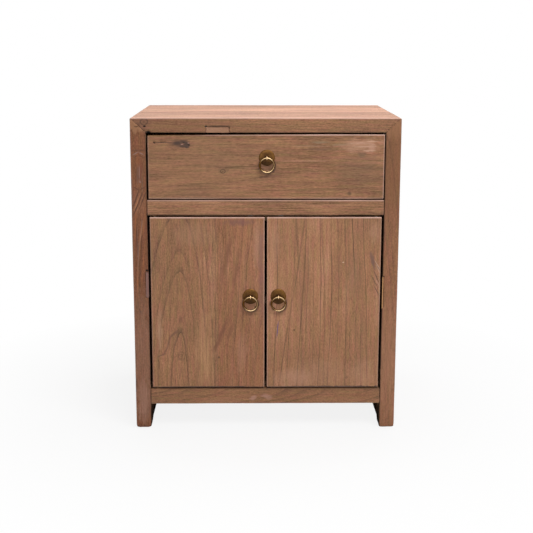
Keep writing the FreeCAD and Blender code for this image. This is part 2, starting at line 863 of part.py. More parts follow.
def pull(name, x, z, thick):
    """A ring pull: a bevelled plate, a split pin whose eye stands before it, and a ring in the eye."""
    points = [
        ("pin_hole / 2", "0"),
        ("plate_diameter / 2", "0"),
        ("plate_diameter / 2", "-plate_rim"),
        ("plate_diameter / 2 - plate_bevel", "-plate_thick"),
        ("pin_hole / 2", "-plate_thick"),
    ]
    node(place(turned(f"{name}_plate", "XY_Plane", points), x, "front", z))

    eye = doc.addObject("Part::Torus", f"{name}_pin_eye")
    bind(eye, Radius1="eye_radius", Radius2="pin_wire / 2")
    parts = [place(eye, x, "front - eye_reach", z, ALONG_X)]
    start = "front - eye_reach + sqrt(eye_radius^2 - pin_leg_offset^2)"
    for level, up in (("lower", -1), ("upper", 1)):
        leg = rod(
            f"{name}_pin_{level}_leg", "pin_leg_wire / 2", f"front + {thick} - ({start})",
            x, start, f"{z} + {up} * pin_leg_offset", ALONG_Y,
        )
        bend = doc.addObject("Part::Torus", f"{name}_pin_{level}_bend")
        bind(bend, Radius1="pin_bend", Radius2="pin_leg_wire / 2")
        bend.Angle3 = 90
        turn = Rotation(Vector(0, 1, 0), Vector(0, 0, -up), Vector(-up, 0, 0), "ZXY")
        place(bend, x, f"front + {thick}", f"{z} + {up} * (pin_leg_offset + pin_bend)", turn)
        tip = rod(
            f"{name}_pin_{level}_tip", "pin_leg_wire / 2", "pin_tip",
            x, f"front + {thick} + pin_bend", f"{z} + {up} * (pin_leg_offset + pin_bend)",
            Rotation() if up > 0 else UPSIDE_DOWN,
        )
        parts += [leg, bend, tip]
    node(fused(f"{name}_pin", parts))

    ring = doc.addObject("Part::Torus", f"{name}_ring")
    bind(ring, Radius1="ring_radius", Radius2="ring_wire / 2")
    node(place(ring, x, "front - eye_reach", f"{z} - ring_radius", ALONG_Y))


def case():
    """The case, whose two sides and top take the ends of everything else."""
    splines = [mitre_spline(side, sign) for side, sign in SIDES]
    rails = [bottom_rail(), middle_rail(), *rear_rails()]
    floor = cabinet_floor()
    back_boards()
    screws = [drawer_runners(), shelf_and_cleats()]
    drawer_stops()
    door_head_stop()
    for side, sign in SIDES:
        for level in ("lower", "upper"):
            pivot_bush(side, sign, level)
    top_patch, left_patch, right_patch = repair_slips()
    blank = side_blank()
    seats = [*rails, floor, *screws]
    node(fitted("side_left", mirrored("side_left_blank", blank), [*seats, splines[0], left_patch]))
    node(fitted("side_right", blank, [*seats, splines[1], right_patch]))
    node(fitted("top_board", top_blank(), [*splines, top_patch]))


def check():
    """Stops with a message unless every object worked out and every piece is a sound solid."""
    faults = [item.Name for item in doc.Objects if {"Invalid", "Error"} & set(item.State)]
    for item in NODES:
        shape = item.Shape
        if shape.isNull() or not shape.isValid() or not shape.Solids:
            faults.append(item.Label)
    if faults:
        raise RuntimeError("not sound: " + ", ".join(faults))


def export():
    """Writes each piece to a file named after its node."""
    os.makedirs("parts", exist_ok=True)
    for item in NODES:
        item.Shape.exportStep(f"parts/{item.Label}.step")


case()
drawer()
door("left", -1, "left_pull_inset")
door("right", 1, "right_pull_inset")
pull("drawer_pull", "drawer_pull_shift", "(drawer_front_low + drawer_pull_height)", "drawer_front_thick")
pull("left_pull", "-left_pull_inset", "(door_low + door_pull_height)", "door_thick")
pull("right_pull", "right_pull_inset", "(door_low + door_pull_height)", "door_thick")
doc.recompute()
check()
export()
print(len(NODES), "nodes written")
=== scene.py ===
"""A nightstand of reclaimed elm, dressed around its solids: worn boards, aged brass pulls and a plain studio.

Lengths are in metres. +Z is up and the front faces -Y.
"""

import math
import random

import bmesh
import bpy
import numpy as np
from bpy.props import FloatProperty, FloatVectorProperty, PointerProperty
from mathutils import Matrix, Vector, noise


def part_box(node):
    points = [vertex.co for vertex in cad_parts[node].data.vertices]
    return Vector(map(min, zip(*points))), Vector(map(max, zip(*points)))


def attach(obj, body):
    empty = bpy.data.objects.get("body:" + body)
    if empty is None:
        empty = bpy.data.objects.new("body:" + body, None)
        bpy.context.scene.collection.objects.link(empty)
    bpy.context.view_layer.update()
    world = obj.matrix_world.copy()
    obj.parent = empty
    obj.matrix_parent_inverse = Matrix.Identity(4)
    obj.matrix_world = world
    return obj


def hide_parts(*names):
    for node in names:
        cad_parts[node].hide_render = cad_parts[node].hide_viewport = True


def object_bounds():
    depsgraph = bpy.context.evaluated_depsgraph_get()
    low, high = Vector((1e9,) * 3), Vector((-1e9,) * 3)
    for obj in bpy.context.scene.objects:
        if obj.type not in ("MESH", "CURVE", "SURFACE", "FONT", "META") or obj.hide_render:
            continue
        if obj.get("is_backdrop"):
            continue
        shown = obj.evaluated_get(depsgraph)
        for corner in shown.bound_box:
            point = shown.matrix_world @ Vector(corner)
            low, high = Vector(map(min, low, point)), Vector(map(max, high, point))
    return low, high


bl_info = {
    "name": "Reclaimed Elm Nightstand",
    "version": (1, 0, 0),
    "blender": (4, 5, 0),
    "location": "View3D > Sidebar > Nightstand",
    "description": "Worn elm boards, aged brass ring pulls and a plain studio for the nightstand",
    "category": "Object",
}

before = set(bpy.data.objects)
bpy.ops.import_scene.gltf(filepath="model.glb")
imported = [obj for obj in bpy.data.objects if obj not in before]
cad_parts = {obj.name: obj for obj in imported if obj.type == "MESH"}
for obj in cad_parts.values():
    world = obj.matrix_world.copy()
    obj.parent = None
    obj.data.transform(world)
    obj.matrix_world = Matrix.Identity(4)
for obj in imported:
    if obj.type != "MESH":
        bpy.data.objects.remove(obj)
SOLIDS_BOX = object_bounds()

MM = 0.001
X, Y, Z = 0, 1, 2
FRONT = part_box("side_left")[0].y
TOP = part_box("top_board")[1].z
LEFT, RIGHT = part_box("side_left")[0].x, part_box("side_right")[1].x
BACK_BOARDS = [f"back_board_{index}" for index in range(1, 5)]


# Sizes and colours that a user would change


def colour(name, description, value):
    """A colour property, as a base colour from 0 to 1."""
    return FloatVectorProperty(
        name=name, description=description, subtype="COLOR", size=3, min=0, max=1, default=value
    )


def length(name, description, value):
    """A length property in metres."""
    return FloatProperty(
        name=name, description=description, subtype="DISTANCE", unit="LENGTH", min=0, default=value
    )


class ElmColours(bpy.types.PropertyGroup):
    """The colours of the old elm."""

    face: colour("Face", "The main brown of the boards", (0.266, 0.130, 0.067))
    shade: colour("Shade", "The olive brown of duller bands", (0.172, 0.092, 0.053))
    pale: colour("Pale", "The pinkish tone of bleached and rubbed places", (0.42, 0.218, 0.140))
    # Also the painted highlight on the lit upper edges
    rubbed: colour("Rubbed", "The wood laid bare on worn edges", (0.62, 0.40, 0.33))
    line: colour("Line", "The grey brown of the lines between growth rings", (0.066, 0.038, 0.028))
    red: colour("Red", "The redder heartwood", (0.215, 0.083, 0.041))
    top: colour("Top", "The sun-bleached top", (0.535, 0.305, 0.214))
    inner: colour("Inner", "The bare wood inside", (0.42, 0.262, 0.160))
    # Also the painted shade in the gaps beside the doors, the drawer and the rails, and on the pulls' plates
    dirt: colour("Dirt", "What holes and cracks have collected", (0.012, 0.008, 0.006))


class WearSizes(bpy.types.PropertyGroup):
    """How far use has worn the boards."""

    arris: length("Worn edge", "The widest that the edges are rounded", 2.4 * MM)
    wander: length("Unevenness", "How far the faces are from flat", 0.35 * MM)
    spacing: length("Mesh spacing", "The distance between the points of a board's mesh", 6 * MM)
    slip_gap: length("Slip gap", "The dark gap around a let-in slip", 0.55 * MM)
    joint_gap: length("Joint gap", "The fine gap at the shoulders of a rail", 0.2 * MM)


class BrassColours(bpy.types.PropertyGroup):
    """The colours of the pulls."""

    plate: colour("Plate", "The brown of the aged plates", (0.066, 0.030, 0.011))
    rim: colour("Rim", "The plates' rubbed, yellower rims", (0.165, 0.078, 0.022))
    ring: colour("Ring", "The brass of the rings", (0.71, 0.495, 0.275))
    # On the rings this film also paints their dark reflections
    tarnish: colour("Tarnish", "The dull film on the rings", (0.085, 0.036, 0.007))


class StudioSettings(bpy.types.PropertyGroup):
    """The studio's light."""

    key: FloatProperty(name="Key", description="Power of the lamp over the front", unit="POWER", default=46)
    fill: FloatProperty(name="Fill", description="Power of the lamp before the front", unit="POWER", default=28)
    roof: FloatProperty(name="Roof", description="Power of the lamp over the top", unit="POWER", default=22)
    world: FloatProperty(name="World", description="Strength of the even light", min=0, default=0.17)
    lens: FloatProperty(name="Lens", description="Focal length in mm", unit="CAMERA", default=70.08)


GROUPS = {"elm": ElmColours, "wear": WearSizes, "brass": BrassColours, "studio": StudioSettings}


def settings(group):
    """One of the property groups of this scene."""
    return getattr(bpy.context.scene, "nightstand_" + group)


def tone(group, name, alpha=1.0):
    """A colour property as the four numbers that a socket takes."""
    return (*getattr(settings(group), name), alpha)


# Finishes


class Flow:
    """A value in a finish's nodes. Sums and products written with it become Math nodes."""

    def __init__(self, finish, socket):
        self.finish = finish
        self.socket = socket

    def maths(self, operation, *values):
        return self.finish.maths(operation, *values)

    def __add__(self, other):
        return self.maths("ADD", self, other)

    def __radd__(self, other):
        return self.maths("ADD", other, self)

    def __sub__(self, other):
        return self.maths("SUBTRACT", self, other)

    def __rsub__(self, other):
        return self.maths("SUBTRACT", other, self)

    def __mul__(self, other):
        return self.maths("MULTIPLY", self, other)

    def __rmul__(self, other):
        return self.maths("MULTIPLY", other, self)

    def __truediv__(self, other):
        return self.maths("DIVIDE", self, other)

    def __pow__(self, other):
        return self.maths("POWER", self, other)

    def __gt__(self, other):
        return self.maths("GREATER_THAN", self, other)

    def __lt__(self, other):
        return self.maths("LESS_THAN", self, other)

    def __abs__(self):
        return self.maths("ABSOLUTE", self)

    def root(self):
        return self.maths("SQRT", self)

    def whole(self):
        return self.maths("FLOOR", self)

    def most(self, other):
        return self.maths("MAXIMUM", self, other)

    def held(self):
        """The value kept between 0 and 1."""
        return self.finish.add("ShaderNodeClamp", {}, {"Value": self})


class Finish:
    """A material or a world being laid out, with one way to add any node to it."""

    def __init__(self, name, kind=None):
        self.material = (bpy.data.materials if kind is None else kind).new(name)
        self.material.use_nodes = True
        self.tree = self.material.node_tree
        self.tree.nodes.clear()

    def add(self, kind, setting=None, inputs=None, output=0):
        """A node of that type with its settings, then its sockets' values or links. Returns one output."""
        item = self.tree.nodes.new(kind)
        for name, value in (setting or {}).items():
            setattr(item, name, value)
        for name, value in (inputs or {}).items():
            if isinstance(value, Flow):
                self.tree.links.new(value.socket, item.inputs[name])
            else:
                item.inputs[name].default_value = value
        return Flow(self, item.outputs[output]) if item.outputs else None

    def place(self):
        """The three coordinates of a point in the piece's own space, as values."""
        spot = self.add("ShaderNodeTexCoord", output="Object")
        return [self.add("ShaderNodeSeparateXYZ", {}, {0: spot}, axis) for axis in (X, Y, Z)]

    def vector(self, *parts):
        """Three values as one vector."""
        return self.add("ShaderNodeCombineXYZ", {}, dict(enumerate(parts)))

    def cloud(self, parts, detail=2.0, roughness=0.5):
        """Soft noise from 0 to 1 over stretched coordinates, whose factors say how many lumps lie on a metre."""
        return self.add(
            "ShaderNodeTexNoise", {"noise_dimensions": "3D"},
            {"Vector": self.vector(*parts), "Scale": 1.0, "Detail": detail, "Roughness": roughness},
        )

    def mix(self, share, one, other, how="MIX"):
        """Two colours mixed, where share is how much of the other shows."""
        return self.add("ShaderNodeMix", {"data_type": "RGBA", "blend_type": how}, {0: share, 6: one, 7: other}, 2)

    def shared(self, work, **values):
        """One node for a part of a finish that is laid out once, as a node group. Returns its outputs by name."""
        tree = bpy.data.node_groups.get(work.__name__)
        if tree is None:
            tree = Share(work).tree
        item = self.add("ShaderNodeGroup", {"node_tree": tree}, values).socket.node
        return {socket.name: Flow(self, socket) for socket in item.outputs}

    def straight_rays(self):
        """1 where the camera, a gloss or a clear body looks straight at the surroundings."""
        camera, glossy, clear = (
            self.add("ShaderNodeLightPath", output=f"Is {kind} Ray") for kind in ("Camera", "Glossy", "Transmission")
        )
        return (camera + glossy + clear).held()

    def maths(self, operation, *values):
        """A Math node on values and numbers."""
        return self.add("ShaderNodeMath", {"operation": operation}, dict(enumerate(values)))

    def done(self, base, roughness, height, depth, strength, **fixed):
        """Joins the values to a shader and returns the material. Height makes bumps, up to depth metres high."""
        bump = self.add("ShaderNodeBump", {}, {"Height": height, "Distance": depth, "Strength": strength})
        inputs = {"Base Color": base, "Roughness": roughness, "Normal": bump}
        for name, value in fixed.items():
            inputs[name.replace("_", " ")] = value
        shader = self.add("ShaderNodeBsdfPrincipled", {}, inputs)
        self.add("ShaderNodeOutputMaterial", {}, {"Surface": shader})
        return self.material


class Share(Finish):
    """A part of a finish laid out as a node group. Its function's parameters are the group's inputs, and names that
    end in tone are colours."""

    def __init__(self, work):
        self.tree = bpy.data.node_groups.new(work.__name__, "ShaderNodeTree")
        names = work.__code__.co_varnames[1:work.__code__.co_argcount]
        for name in names:
            self.socket(name, "INPUT")
        entry = self.tree.nodes.new("NodeGroupInput")
        results = work(self, *(Flow(self, entry.outputs[name]) for name in names))
        for name in results:
            self.socket(name, "OUTPUT")
        self.add("NodeGroupOutput", {}, results)

    def socket(self, name, way):
        """Adds one input or output to the group."""
        kind = "NodeSocketColor" if name.endswith("tone") else "NodeSocketFloat"
        self.tree.interface.new_socket(name, in_out=way, socket_type=kind)


# How far off the pith a stave's point leaves the arches' width as it is
REACH = 20 * MM
# What turns the number of a growth ring into luck
LUCK_STEP, LUCK_SPREAD = 12.9898, 437.585
# One of the staves that a board is glued up from, where its board says nothing else
STAVE = {
    # Its edge across the board, and the pith of its tree: where across, and how far behind the face at that level
    "start": 0.0, "pith": 0.0, "depth": 0.09, "level": 0.0,
    # How fast the pith's depth grows along the board, the distance between growth rings and how far they wander
    "slope": 0.02, "ring": 6 * MM, "sway": 6 * MM,
    # The width of the arches' low halves, and how pointed they are
    "skew": 1.0, "point": 1.0,
    # How dark the lines between rings are, and how few of them are dark
    "lines": 0.9, "rare": 2.0,
    # Shifts of its colour, its brightness, how much that varies and how dark its glued joint is
    "pink": 0.0, "red": 0.0, "dull": 0.0, "tint": 1.0, "broad": 0.35, "seam": 0.0,
    # A number that decides which lines are the dark ones
    "odds": 0.0,
}


def stepped(across, staves, key):
    """A number that changes from stave to stave of a glued-up board."""
    value = staves[0][key]
    for before, after in zip(staves, staves[1:]):
        if after[key] != before[key]:
            value = value + (across > after["start"]) * (after[key] - before[key])
    return value


def elm_grain(
    finish, run, side, into, shift, swell, contrast, streaks, short, pith, depth, level, slope, ring, sway, skew, point,
    lines, rare, pink, red, dull, tint, broad, odds, ground_tone, shade_tone, pale_tone, red_tone, line_tone,
):
    """The grain of one board. Its growth rings are cylinders about a pith line behind the face."""
    # Rings, their dark late wood and the lines between them. Luck is a number from 0 to 1 that differs by ring.
    warp = finish.cloud((run * 2.6 + shift, side * 7, into * 7), 2.0, 0.55) - 0.5
    swayed = side + warp * sway * 2
    deep = depth + (run - level) * slope - into + swell
    off = swayed - pith
    off = abs(off * ((off < 0) * (skew - 1) + 1))
    off = finish.maths("POWER", off / REACH, point) * REACH
    radius = (off ** 2 + deep ** 2).root()
    wobble = finish.cloud((run * 16, side * 60 + shift, into * 60), 2.0, 0.6) - 0.5
    phase = radius / ring + wobble * 0.35
    year = phase.whole()
    grown = phase - year
    luck = finish.maths("FRACT", finish.maths("SINE", year * LUCK_STEP + odds + shift) * LUCK_SPREAD)
    late = (1 - grown) ** 3.5
    soft = (1 - grown) ** 1.6
    gaps = finish.cloud((run * 9, side * 40, into * 40 + shift), 2.0, 0.5)
    line = late * (finish.maths("POWER", luck, rare) * 0.9 + 0.1) * (gaps * 2.4 - 0.45).held() * lines

    # Noise stretched along the grain, from broad patches to dust
    patches = finish.cloud((run * 5.5 + shift, side * 13, into * 13), 3.0, 0.55)
    bands = finish.cloud((run * 5, side * 120, into * 120 + shift), 3.0, 0.6)
    fibre = finish.cloud((run * short * 18, side * 620 + shift, into * 620), 3.0, 0.7)
    hair = finish.cloud((run * short * 90, side * 1300, into * 1300), 2.0, 0.6)
    dust = finish.cloud((run * short * 230, side * 460, into * 460), 2.0, 0.7)
    clouds = finish.cloud((run * 4.5 + shift, side * 30, into * 30), 3.0, 0.5) - 0.5
    hue = (finish.cloud((run * 26, side * 170, into * 170 + shift), 3.0, 0.6) - 0.5) * contrast * 0.3

    # Colours, from the ground to the pores
    shown = finish.mix(((0.54 - patches) * 2.2 + (0.5 - bands) * 1.1 + dull).held() * 0.8, ground_tone, shade_tone)
    shown = finish.mix(((patches - 0.55) * 2.0 + (bands - 0.5) * 1.3 + pink).held() * 0.62, shown, pale_tone)
    shown = finish.mix(red, shown, red_tone)
    shown = finish.mix((soft * 0.13 * luck * contrast).held(), shown, line_tone)
    shown = finish.mix((line * 0.95 * contrast).held(), shown, line_tone)
    bright = tint + ((fibre - 0.5) * 1.35 + (bands - 0.5) * 0.2) * streaks + clouds * broad
    bright = bright + (hair - 0.5) * 1.1 + (dust - 0.5) * 1.3
    hues = finish.vector(bright * (hue + 1), bright * (1 - hue), bright * (hue + 1))
    shown = finish.mix(1.0, shown, hues, "MULTIPLY")
    pores = ((0.40 - hair) * 6).held() * (late + 0.25).held()
    shown = finish.mix((pores * 0.55).held(), shown, line_tone)
    return {
        "wood_tone": shown, "swayed": swayed, "gaps": gaps,
        "ragged": (finish.cloud((run * 60, side * 130, into * 60), 3.0, 0.6) - 0.5) * 2.4,
        "streak": ((fibre - 0.38) * 3.2).held() * 0.75 + dust * 0.5,
        "roughness": (fibre - 0.5) * 0.24 + (patches - 0.5) * 0.2 + 0.66,
        "height": fibre * 0.35 + hair * 0.25 - line * 0.8 - soft * 0.15 + bands * 0.6,
    }


def stain_share(finish, side, run, ragged, streak, centre, level, wide, long, lean, strength):
    """How much a ragged, streaky stain covers a point."""
    up = run - level
    reach = ((side - centre - up * lean) / wide + ragged * 0.7) ** 2 + (up / long + ragged * 0.5) ** 2
    return {"share": ((1 - reach).held() * strength * 1.25 * (streak + 0.25)).held()}


def stream_share(finish, swayed, run, gaps, centre, wide, strength, lean):
    """How much a long dark line covers a point. It sways and breaks off."""
    near = (1 - abs(swayed - centre - run * lean) / wide).held()
    return {"share": (near * (gaps * 2.6 - 0.6).held() * strength).held()}


def knot_share(finish, side, run, ragged, centre, level, size, dark):
    """How much a small knot's dark ring and heart cover a point."""
    reach = (((side - centre) / size + ragged * 0.12) ** 2 + ((run - level) / (size * 1.2)) ** 2).root()
    ring = (1 - abs(reach - 1) * 3.0).held()
    return {"share": (ring.most((1 - reach * 1.7).held() * 0.8) * dark).held()}


def swell_height(finish, side, run, centre, level, wide, long, height):
    """How much a swelling in the trunk moves the growth rings."""
    reach = ((side - centre) / wide) ** 2 + ((run - level) / long) ** 2
    return {"height": finish.maths("EXPONENT", reach * -1.0) * height}


def edge_share(finish, away, into, worn):
    """How much of an edge's wear, and of the painted highlight and painted shade laid on it, reaches a point."""
    return {"share": (1 - (away + abs(into) * 0.8) / (3.2 * MM)).held() * worn}


def elm(
    name, along, across, deep, surface, staves, base="face", eyes=(), knots=(), stains=(), streams=(), box=None,
    inward=1, shift=0.0, wear=(0.3, 0.3, 0.3, 0.3), contrast=1.0, streaks=1.0, short=1.0, gloss=0.15,
):
    """Old elm. Plain-sawn staves show arches, rift-sawn ones show lines, and ends show rings.

    along, across, deep: the axes of the grain, of the face and into the board. surface: where the face lies on deep,
    and inward: the way into the board from there.
    staves: what it is glued up from, low to high across, as STAVE says. All but the first have a start.
    eyes: swellings that the rings flow round, as (across, along, width, length, height).
    knots: (across, along, radius, darkness).
    stains: (across, along, width, length, strength, colour), and how far one leans if it does. The colour may be the
    name of one of the elm's.
    streams: long dark lines, as (across, width, strength, lean).
    box: the board's edges across and along, and wear: how worn each of them is, where the paler worn wood on upper
    edges is also a painted highlight, or, under 0, how much painted shade darkens it beside a gap.
    contrast, streaks: how strong the rings and the streaks along the grain are. short: above 1 the fibres are shorter.
    """
    rows = [{**STAVE, **stave} for stave in staves]
    finish = Finish(name)
    place = finish.place()
    run, side, into = place[along], place[across], (place[deep] - surface) * inward
    swell = 0.0
    for centre, level, wide, long, height in eyes:
        swell = finish.shared(
            swell_height, side=side, run=run, centre=centre, level=level, wide=wide, long=long, height=height,
        )["height"] + swell
    ground = tone("elm", base)
    line_tone = tone("elm", "line")
    if base == "face":
        shade_tone, pale_tone = tone("elm", "shade"), tone("elm", "pale")
    else:
        shade_tone = (*(0.74 * part for part in ground[:3]), 1)
        pale_tone = (*(min(1, 1.34 * part) for part in ground[:3]), 1)
    wood = finish.shared(
        elm_grain, run=run, side=side, into=into, shift=shift, swell=swell, contrast=contrast, streaks=streaks,
        short=short, ground_tone=ground, red_tone=tone("elm", "red"), line_tone=line_tone, shade_tone=shade_tone,
        pale_tone=pale_tone, **{key: stepped(side, rows, key) for key in STAVE if key not in ("start", "seam")},
    )
    ragged, streak, gaps = wood["ragged"], wood["streak"], wood["gaps"]

    def marked(shown, mark, over, **values):
        """The wood with one more mark in the colour over, where a function says how much of it covers a point."""
        return finish.mix(finish.shared(mark, run=run, **values)["share"], shown, over)

    shown = wood["wood_tone"]
    for centre, wide, strength, lean in streams:
        shown = marked(
            shown, stream_share, line_tone, swayed=wood["swayed"], gaps=gaps, centre=centre, wide=wide,
            strength=strength, lean=lean,
        )
    for stave in rows[1:]:
        shown = marked(
            shown, stream_share, line_tone, swayed=side, gaps=gaps, centre=stave["start"], wide=0.9 * MM,
            strength=stave["seam"], lean=0.0,
        )
    for centre, level, wide, long, strength, stain, *lean in stains:
        shown = marked(
            shown, stain_share, tone("elm", stain) if isinstance(stain, str) else (*stain, 1), side=side,
            ragged=ragged, streak=streak, centre=centre, level=level, wide=wide, long=long, lean=sum(lean),
            strength=strength,
        )
    for centre, level, size, dark in knots:
        shown = marked(
            shown, knot_share, line_tone, side=side, ragged=ragged, centre=centre, level=level, size=size, dark=dark,
        )
    if box:
        low_side, high_side, low_run, high_run = box
        # Edges: above 0 they are worn paler, which on upper edges also paints their highlight; under 0 painted shade
        # darkens them, as in the gap beside them
        shares = {"rubbed": 0.0, "dirt": 0.0}
        for away, worn in zip((side - low_side, high_side - side, run - low_run, high_run - run), wear):
            sort = "dirt" if worn < 0 else "rubbed"
            share = finish.shared(edge_share, away=away, into=into, worn=abs(worn))["share"]
            shares[sort] = (share * (gaps * 1.1 + 0.35)).held() + shares[sort]
        for sort, share in shares.items():
            if isinstance(share, Flow):
                shown = finish.mix(share.held(), shown, tone("elm", sort))
    return finish.done(shown, wood["roughness"], wood["height"], 0.35 * MM, 0.55, Specular_IOR_Level=gloss)


def brass(name, base, film, shine, dull, amount, radial=None, hoop=None):
    """Old brass: a brown film over the metal, thinner where hands rub it, and on rings and plates also laid out as
    painted light.

    shine, dull: how rough the bare metal and the film are. amount: how much film there is.
    radial: a disc's centre across, centre up and radius; the disc gets a painted highlight on its right and painted
    shade on its lower half and round its pin. hoop: the same of a ring, and its wire's radius; its film is a painted
    reflection, thick and dark on the wire's flanks and at the ring's left and right, thin on its crest, and thinner to
    the right as a painted highlight."""
    finish = Finish(name)
    x, y, z = finish.place()
    cloudy = finish.cloud((x * 120, y * 120, z * 120), 4.0, 0.6)
    fine = finish.cloud((x * 900, y * 900, z * 900), 3.0, 0.6)
    film_share = ((cloudy - 0.5) * 2.2 + amount + (fine - 0.5) * 0.7).held()
    if hoop:
        centre_x, centre_z, reach, wire = hoop
        from_crest = abs(((x - centre_x) ** 2 + (z - centre_z) ** 2).root() - reach) / wire
        turned = (x - centre_x) / reach
        # Painted reflection: dark film on the wire's flanks and at the ring's left and right, thin on its crest; less
        # of it on the right is a painted highlight
        film_share = (film_share + from_crest ** 1.5 * 1.9 + abs(turned) ** 3 * 0.8 - turned * 0.25).held()
    if radial:
        centre_x, centre_z, reach = radial
        away = ((x - centre_x) ** 2 + (z - centre_z) ** 2).root()
        # Thinner film on the rim, and a painted highlight that lightens the disc's right side
        film_share = (film_share * (1.12 - (away / reach) ** 3 * 0.62) - (x - centre_x) / reach * 0.25).held()
    shown = finish.mix(film_share, tone("brass", base), tone("brass", film))
    if radial:
        # Painted shade: the ring's shadow on the lower half, darkening round the pin, and a dark spot beside it where
        # the pin's eye shades the plate
        below = ((centre_z - z) / reach * 1.7).held() * (1.1 - abs(x - centre_x) / reach).held()
        hole = ((x - centre_x - 4.3 * MM) ** 2 + (z - centre_z + 0.5 * MM) ** 2).root()
        for share in (below * 0.62, (1.9 - away / (2.9 * MM)).held() * 0.85, (1.8 - hole / (1.2 * MM)).held() * 0.9):
            shown = finish.mix(share, shown, tone("elm", "dirt"))
    roughness = film_share * (dull - shine) + shine + (fine - 0.5) * 0.1
    return finish.done(shown, roughness, cloudy * 0.6 + fine * 0.5, 0.12 * MM, 0.5, Metallic=1.0)


def steel(name, shade):
    """Plain steel with a little rust bloom."""
    finish = Finish(name)
    x, y, z = finish.place()
    cloudy = finish.cloud((x * 260, y * 260, z * 260), 4.0, 0.6)
    shown = finish.mix((cloudy - 0.42).held(), (*shade, 1), (0.14, 0.07, 0.035, 1))
    return finish.done(shown, cloudy * 0.4 + 0.28, cloudy, 0.1 * MM, 0.4, Metallic=1.0)


def grime():
    """What lies in cracks and holes. It is made once."""
    made = bpy.data.materials.get("grime")
    if made:
        return made
    finish = Finish("grime")
    x, y, z = finish.place()
    cloudy = finish.cloud((x * 400, y * 400, z * 400), 3.0, 0.6)
    shown = finish.mix(cloudy, tone("elm", "dirt"), tuple(1.9 * part for part in settings("elm").dirt) + (1,))
    return finish.done(shown, cloudy * 0.2 + 0.75, cloudy, 0.3 * MM, 0.5)


# Meshes


def mesh_of(name, shape):
    """A mesh of what has been built in a bmesh."""
    mesh = bpy.data.meshes.new(name)
    shape.to_mesh(mesh)
    shape.free()
    return mesh


def new_piece(name, mesh, *materials):
    """A mesh object in the scene with its materials."""
    piece = bpy.data.objects.new(name, mesh)
    bpy.context.scene.collection.objects.link(piece)
    for material in materials:
        mesh.materials.append(material)
    return piece


def smoothed(mesh, angle=32):
    """Smooth shading, kept sharp at edges over that angle."""
    mesh.polygons.foreach_set("use_smooth", [True] * len(mesh.polygons))
    mesh.set_sharp_from_angle(angle=math.radians(angle))
    return mesh


def stations(low, high, arris, spacing):
    """Where the points of a board lie along one axis, closer together on its rounded edges."""
    ease = [arris * (1 - math.tan(math.radians(angle))) for angle in (45, 30, 15, 0)]
    count = max(1, round((high - low - 2 * arris) / spacing))
    middle = np.linspace(low + arris, high - arris, count + 1)[1:-1]
    return [low + part for part in ease] + list(middle) + [high - part for part in reversed(ease)]


def worn_mesh(name, low, high, arris, spacing, wander, seed, droop=(0, 0), foot=0.0):
    """A board whose edges are rounded unevenly by use and whose faces aren't quite flat. Droop is how much
    lower than straight its top edge lies at its two ends, and foot how much rounder its lower end is."""
    # A grid of points on all six faces
    ticks = [stations(low[axis], high[axis], arris, spacing) for axis in (X, Y, Z)]
    counts = [len(row) for row in ticks]
    numbers, points, faces = {}, [], []

    def number(key):
        if key not in numbers:
            numbers[key] = len(points)
            points.append([ticks[axis][key[axis]] for axis in (X, Y, Z)])
        return numbers[key]

    for axis in (X, Y, Z):
        one, two = (axis + 1) % 3, (axis + 2) % 3
        for end in (0, counts[axis] - 1):
            for i in range(counts[one] - 1):
                for j in range(counts[two] - 1):
                    corners = []
                    for di, dj in ((0, 0), (1, 0), (1, 1), (0, 1)):
                        key = [0, 0, 0]
                        key[axis], key[one], key[two] = end, i + di, j + dj
                        corners.append(number(tuple(key)))
                    faces.append(corners if end else corners[::-1])
    # The grid drawn in to edges whose radius varies, and faces that wander
    spots = np.array(points)
    lows, highs = np.array(low), np.array(high)
    offset = Vector((seed * 3.7, seed * 1.3, seed * 5.1))
    slow = np.array([noise.noise(Vector(p) * 22 + offset) for p in spots])
    quick = np.array([noise.noise(Vector(p) * 95 + offset) for p in spots])
    bump = np.array([noise.noise(Vector(p) * 9 - offset) for p in spots])
    radius = arris * np.clip(0.62 + 0.45 * slow + 0.42 * np.clip(quick - 0.25, 0, 1) * 2, 0.25, 1)[:, None]
    radius = radius * (1 + foot * np.clip(1 - (spots[:, Z:] - low[Z]) / (10 * MM), 0, 1))
    inner = np.clip(spots, lows + radius, highs - radius)
    outward = spots - inner
    outward /= np.maximum(np.linalg.norm(outward, axis=1), 1e-9)[:, None]
    spots = inner + outward * radius - outward * (wander * (0.5 + 0.5 * bump))[:, None]
    along = (spots[:, X] - low[X]) / (high[X] - low[X])
    up = np.clip((spots[:, Z] - low[Z]) / (high[Z] - low[Z]), 0, 1)
    spots[:, Z] -= (droop[0] * (1 - along) ** 2 + droop[1] * along ** 2) * up
    mesh = bpy.data.meshes.new(name)
    mesh.from_pydata(spots.tolist(), [], faces)
    mesh.update()
    return mesh


def combined(piece, other, operation, crossing=False):
    """Cuts or trims a piece with another object, for good, and removes the other. The other's parts may cross."""
    modifier = piece.modifiers.new("shape", "BOOLEAN")
    modifier.operation = operation
    modifier.solver = "EXACT"
    modifier.use_self = crossing
    modifier.material_mode = "TRANSFER"
    modifier.object = other
    bpy.context.view_layer.update()
    shaped = bpy.data.meshes.new_from_object(piece.evaluated_get(bpy.context.evaluated_depsgraph_get()))
    piece.modifiers.remove(modifier)
    if not shaped.polygons:
        raise RuntimeError(f"nothing was left of {piece.name}")
    old = piece.data
    piece.data = shaped
    bpy.data.meshes.remove(old)
    used = other.data
    bpy.data.objects.remove(other)
    bpy.data.meshes.remove(used)
    return piece


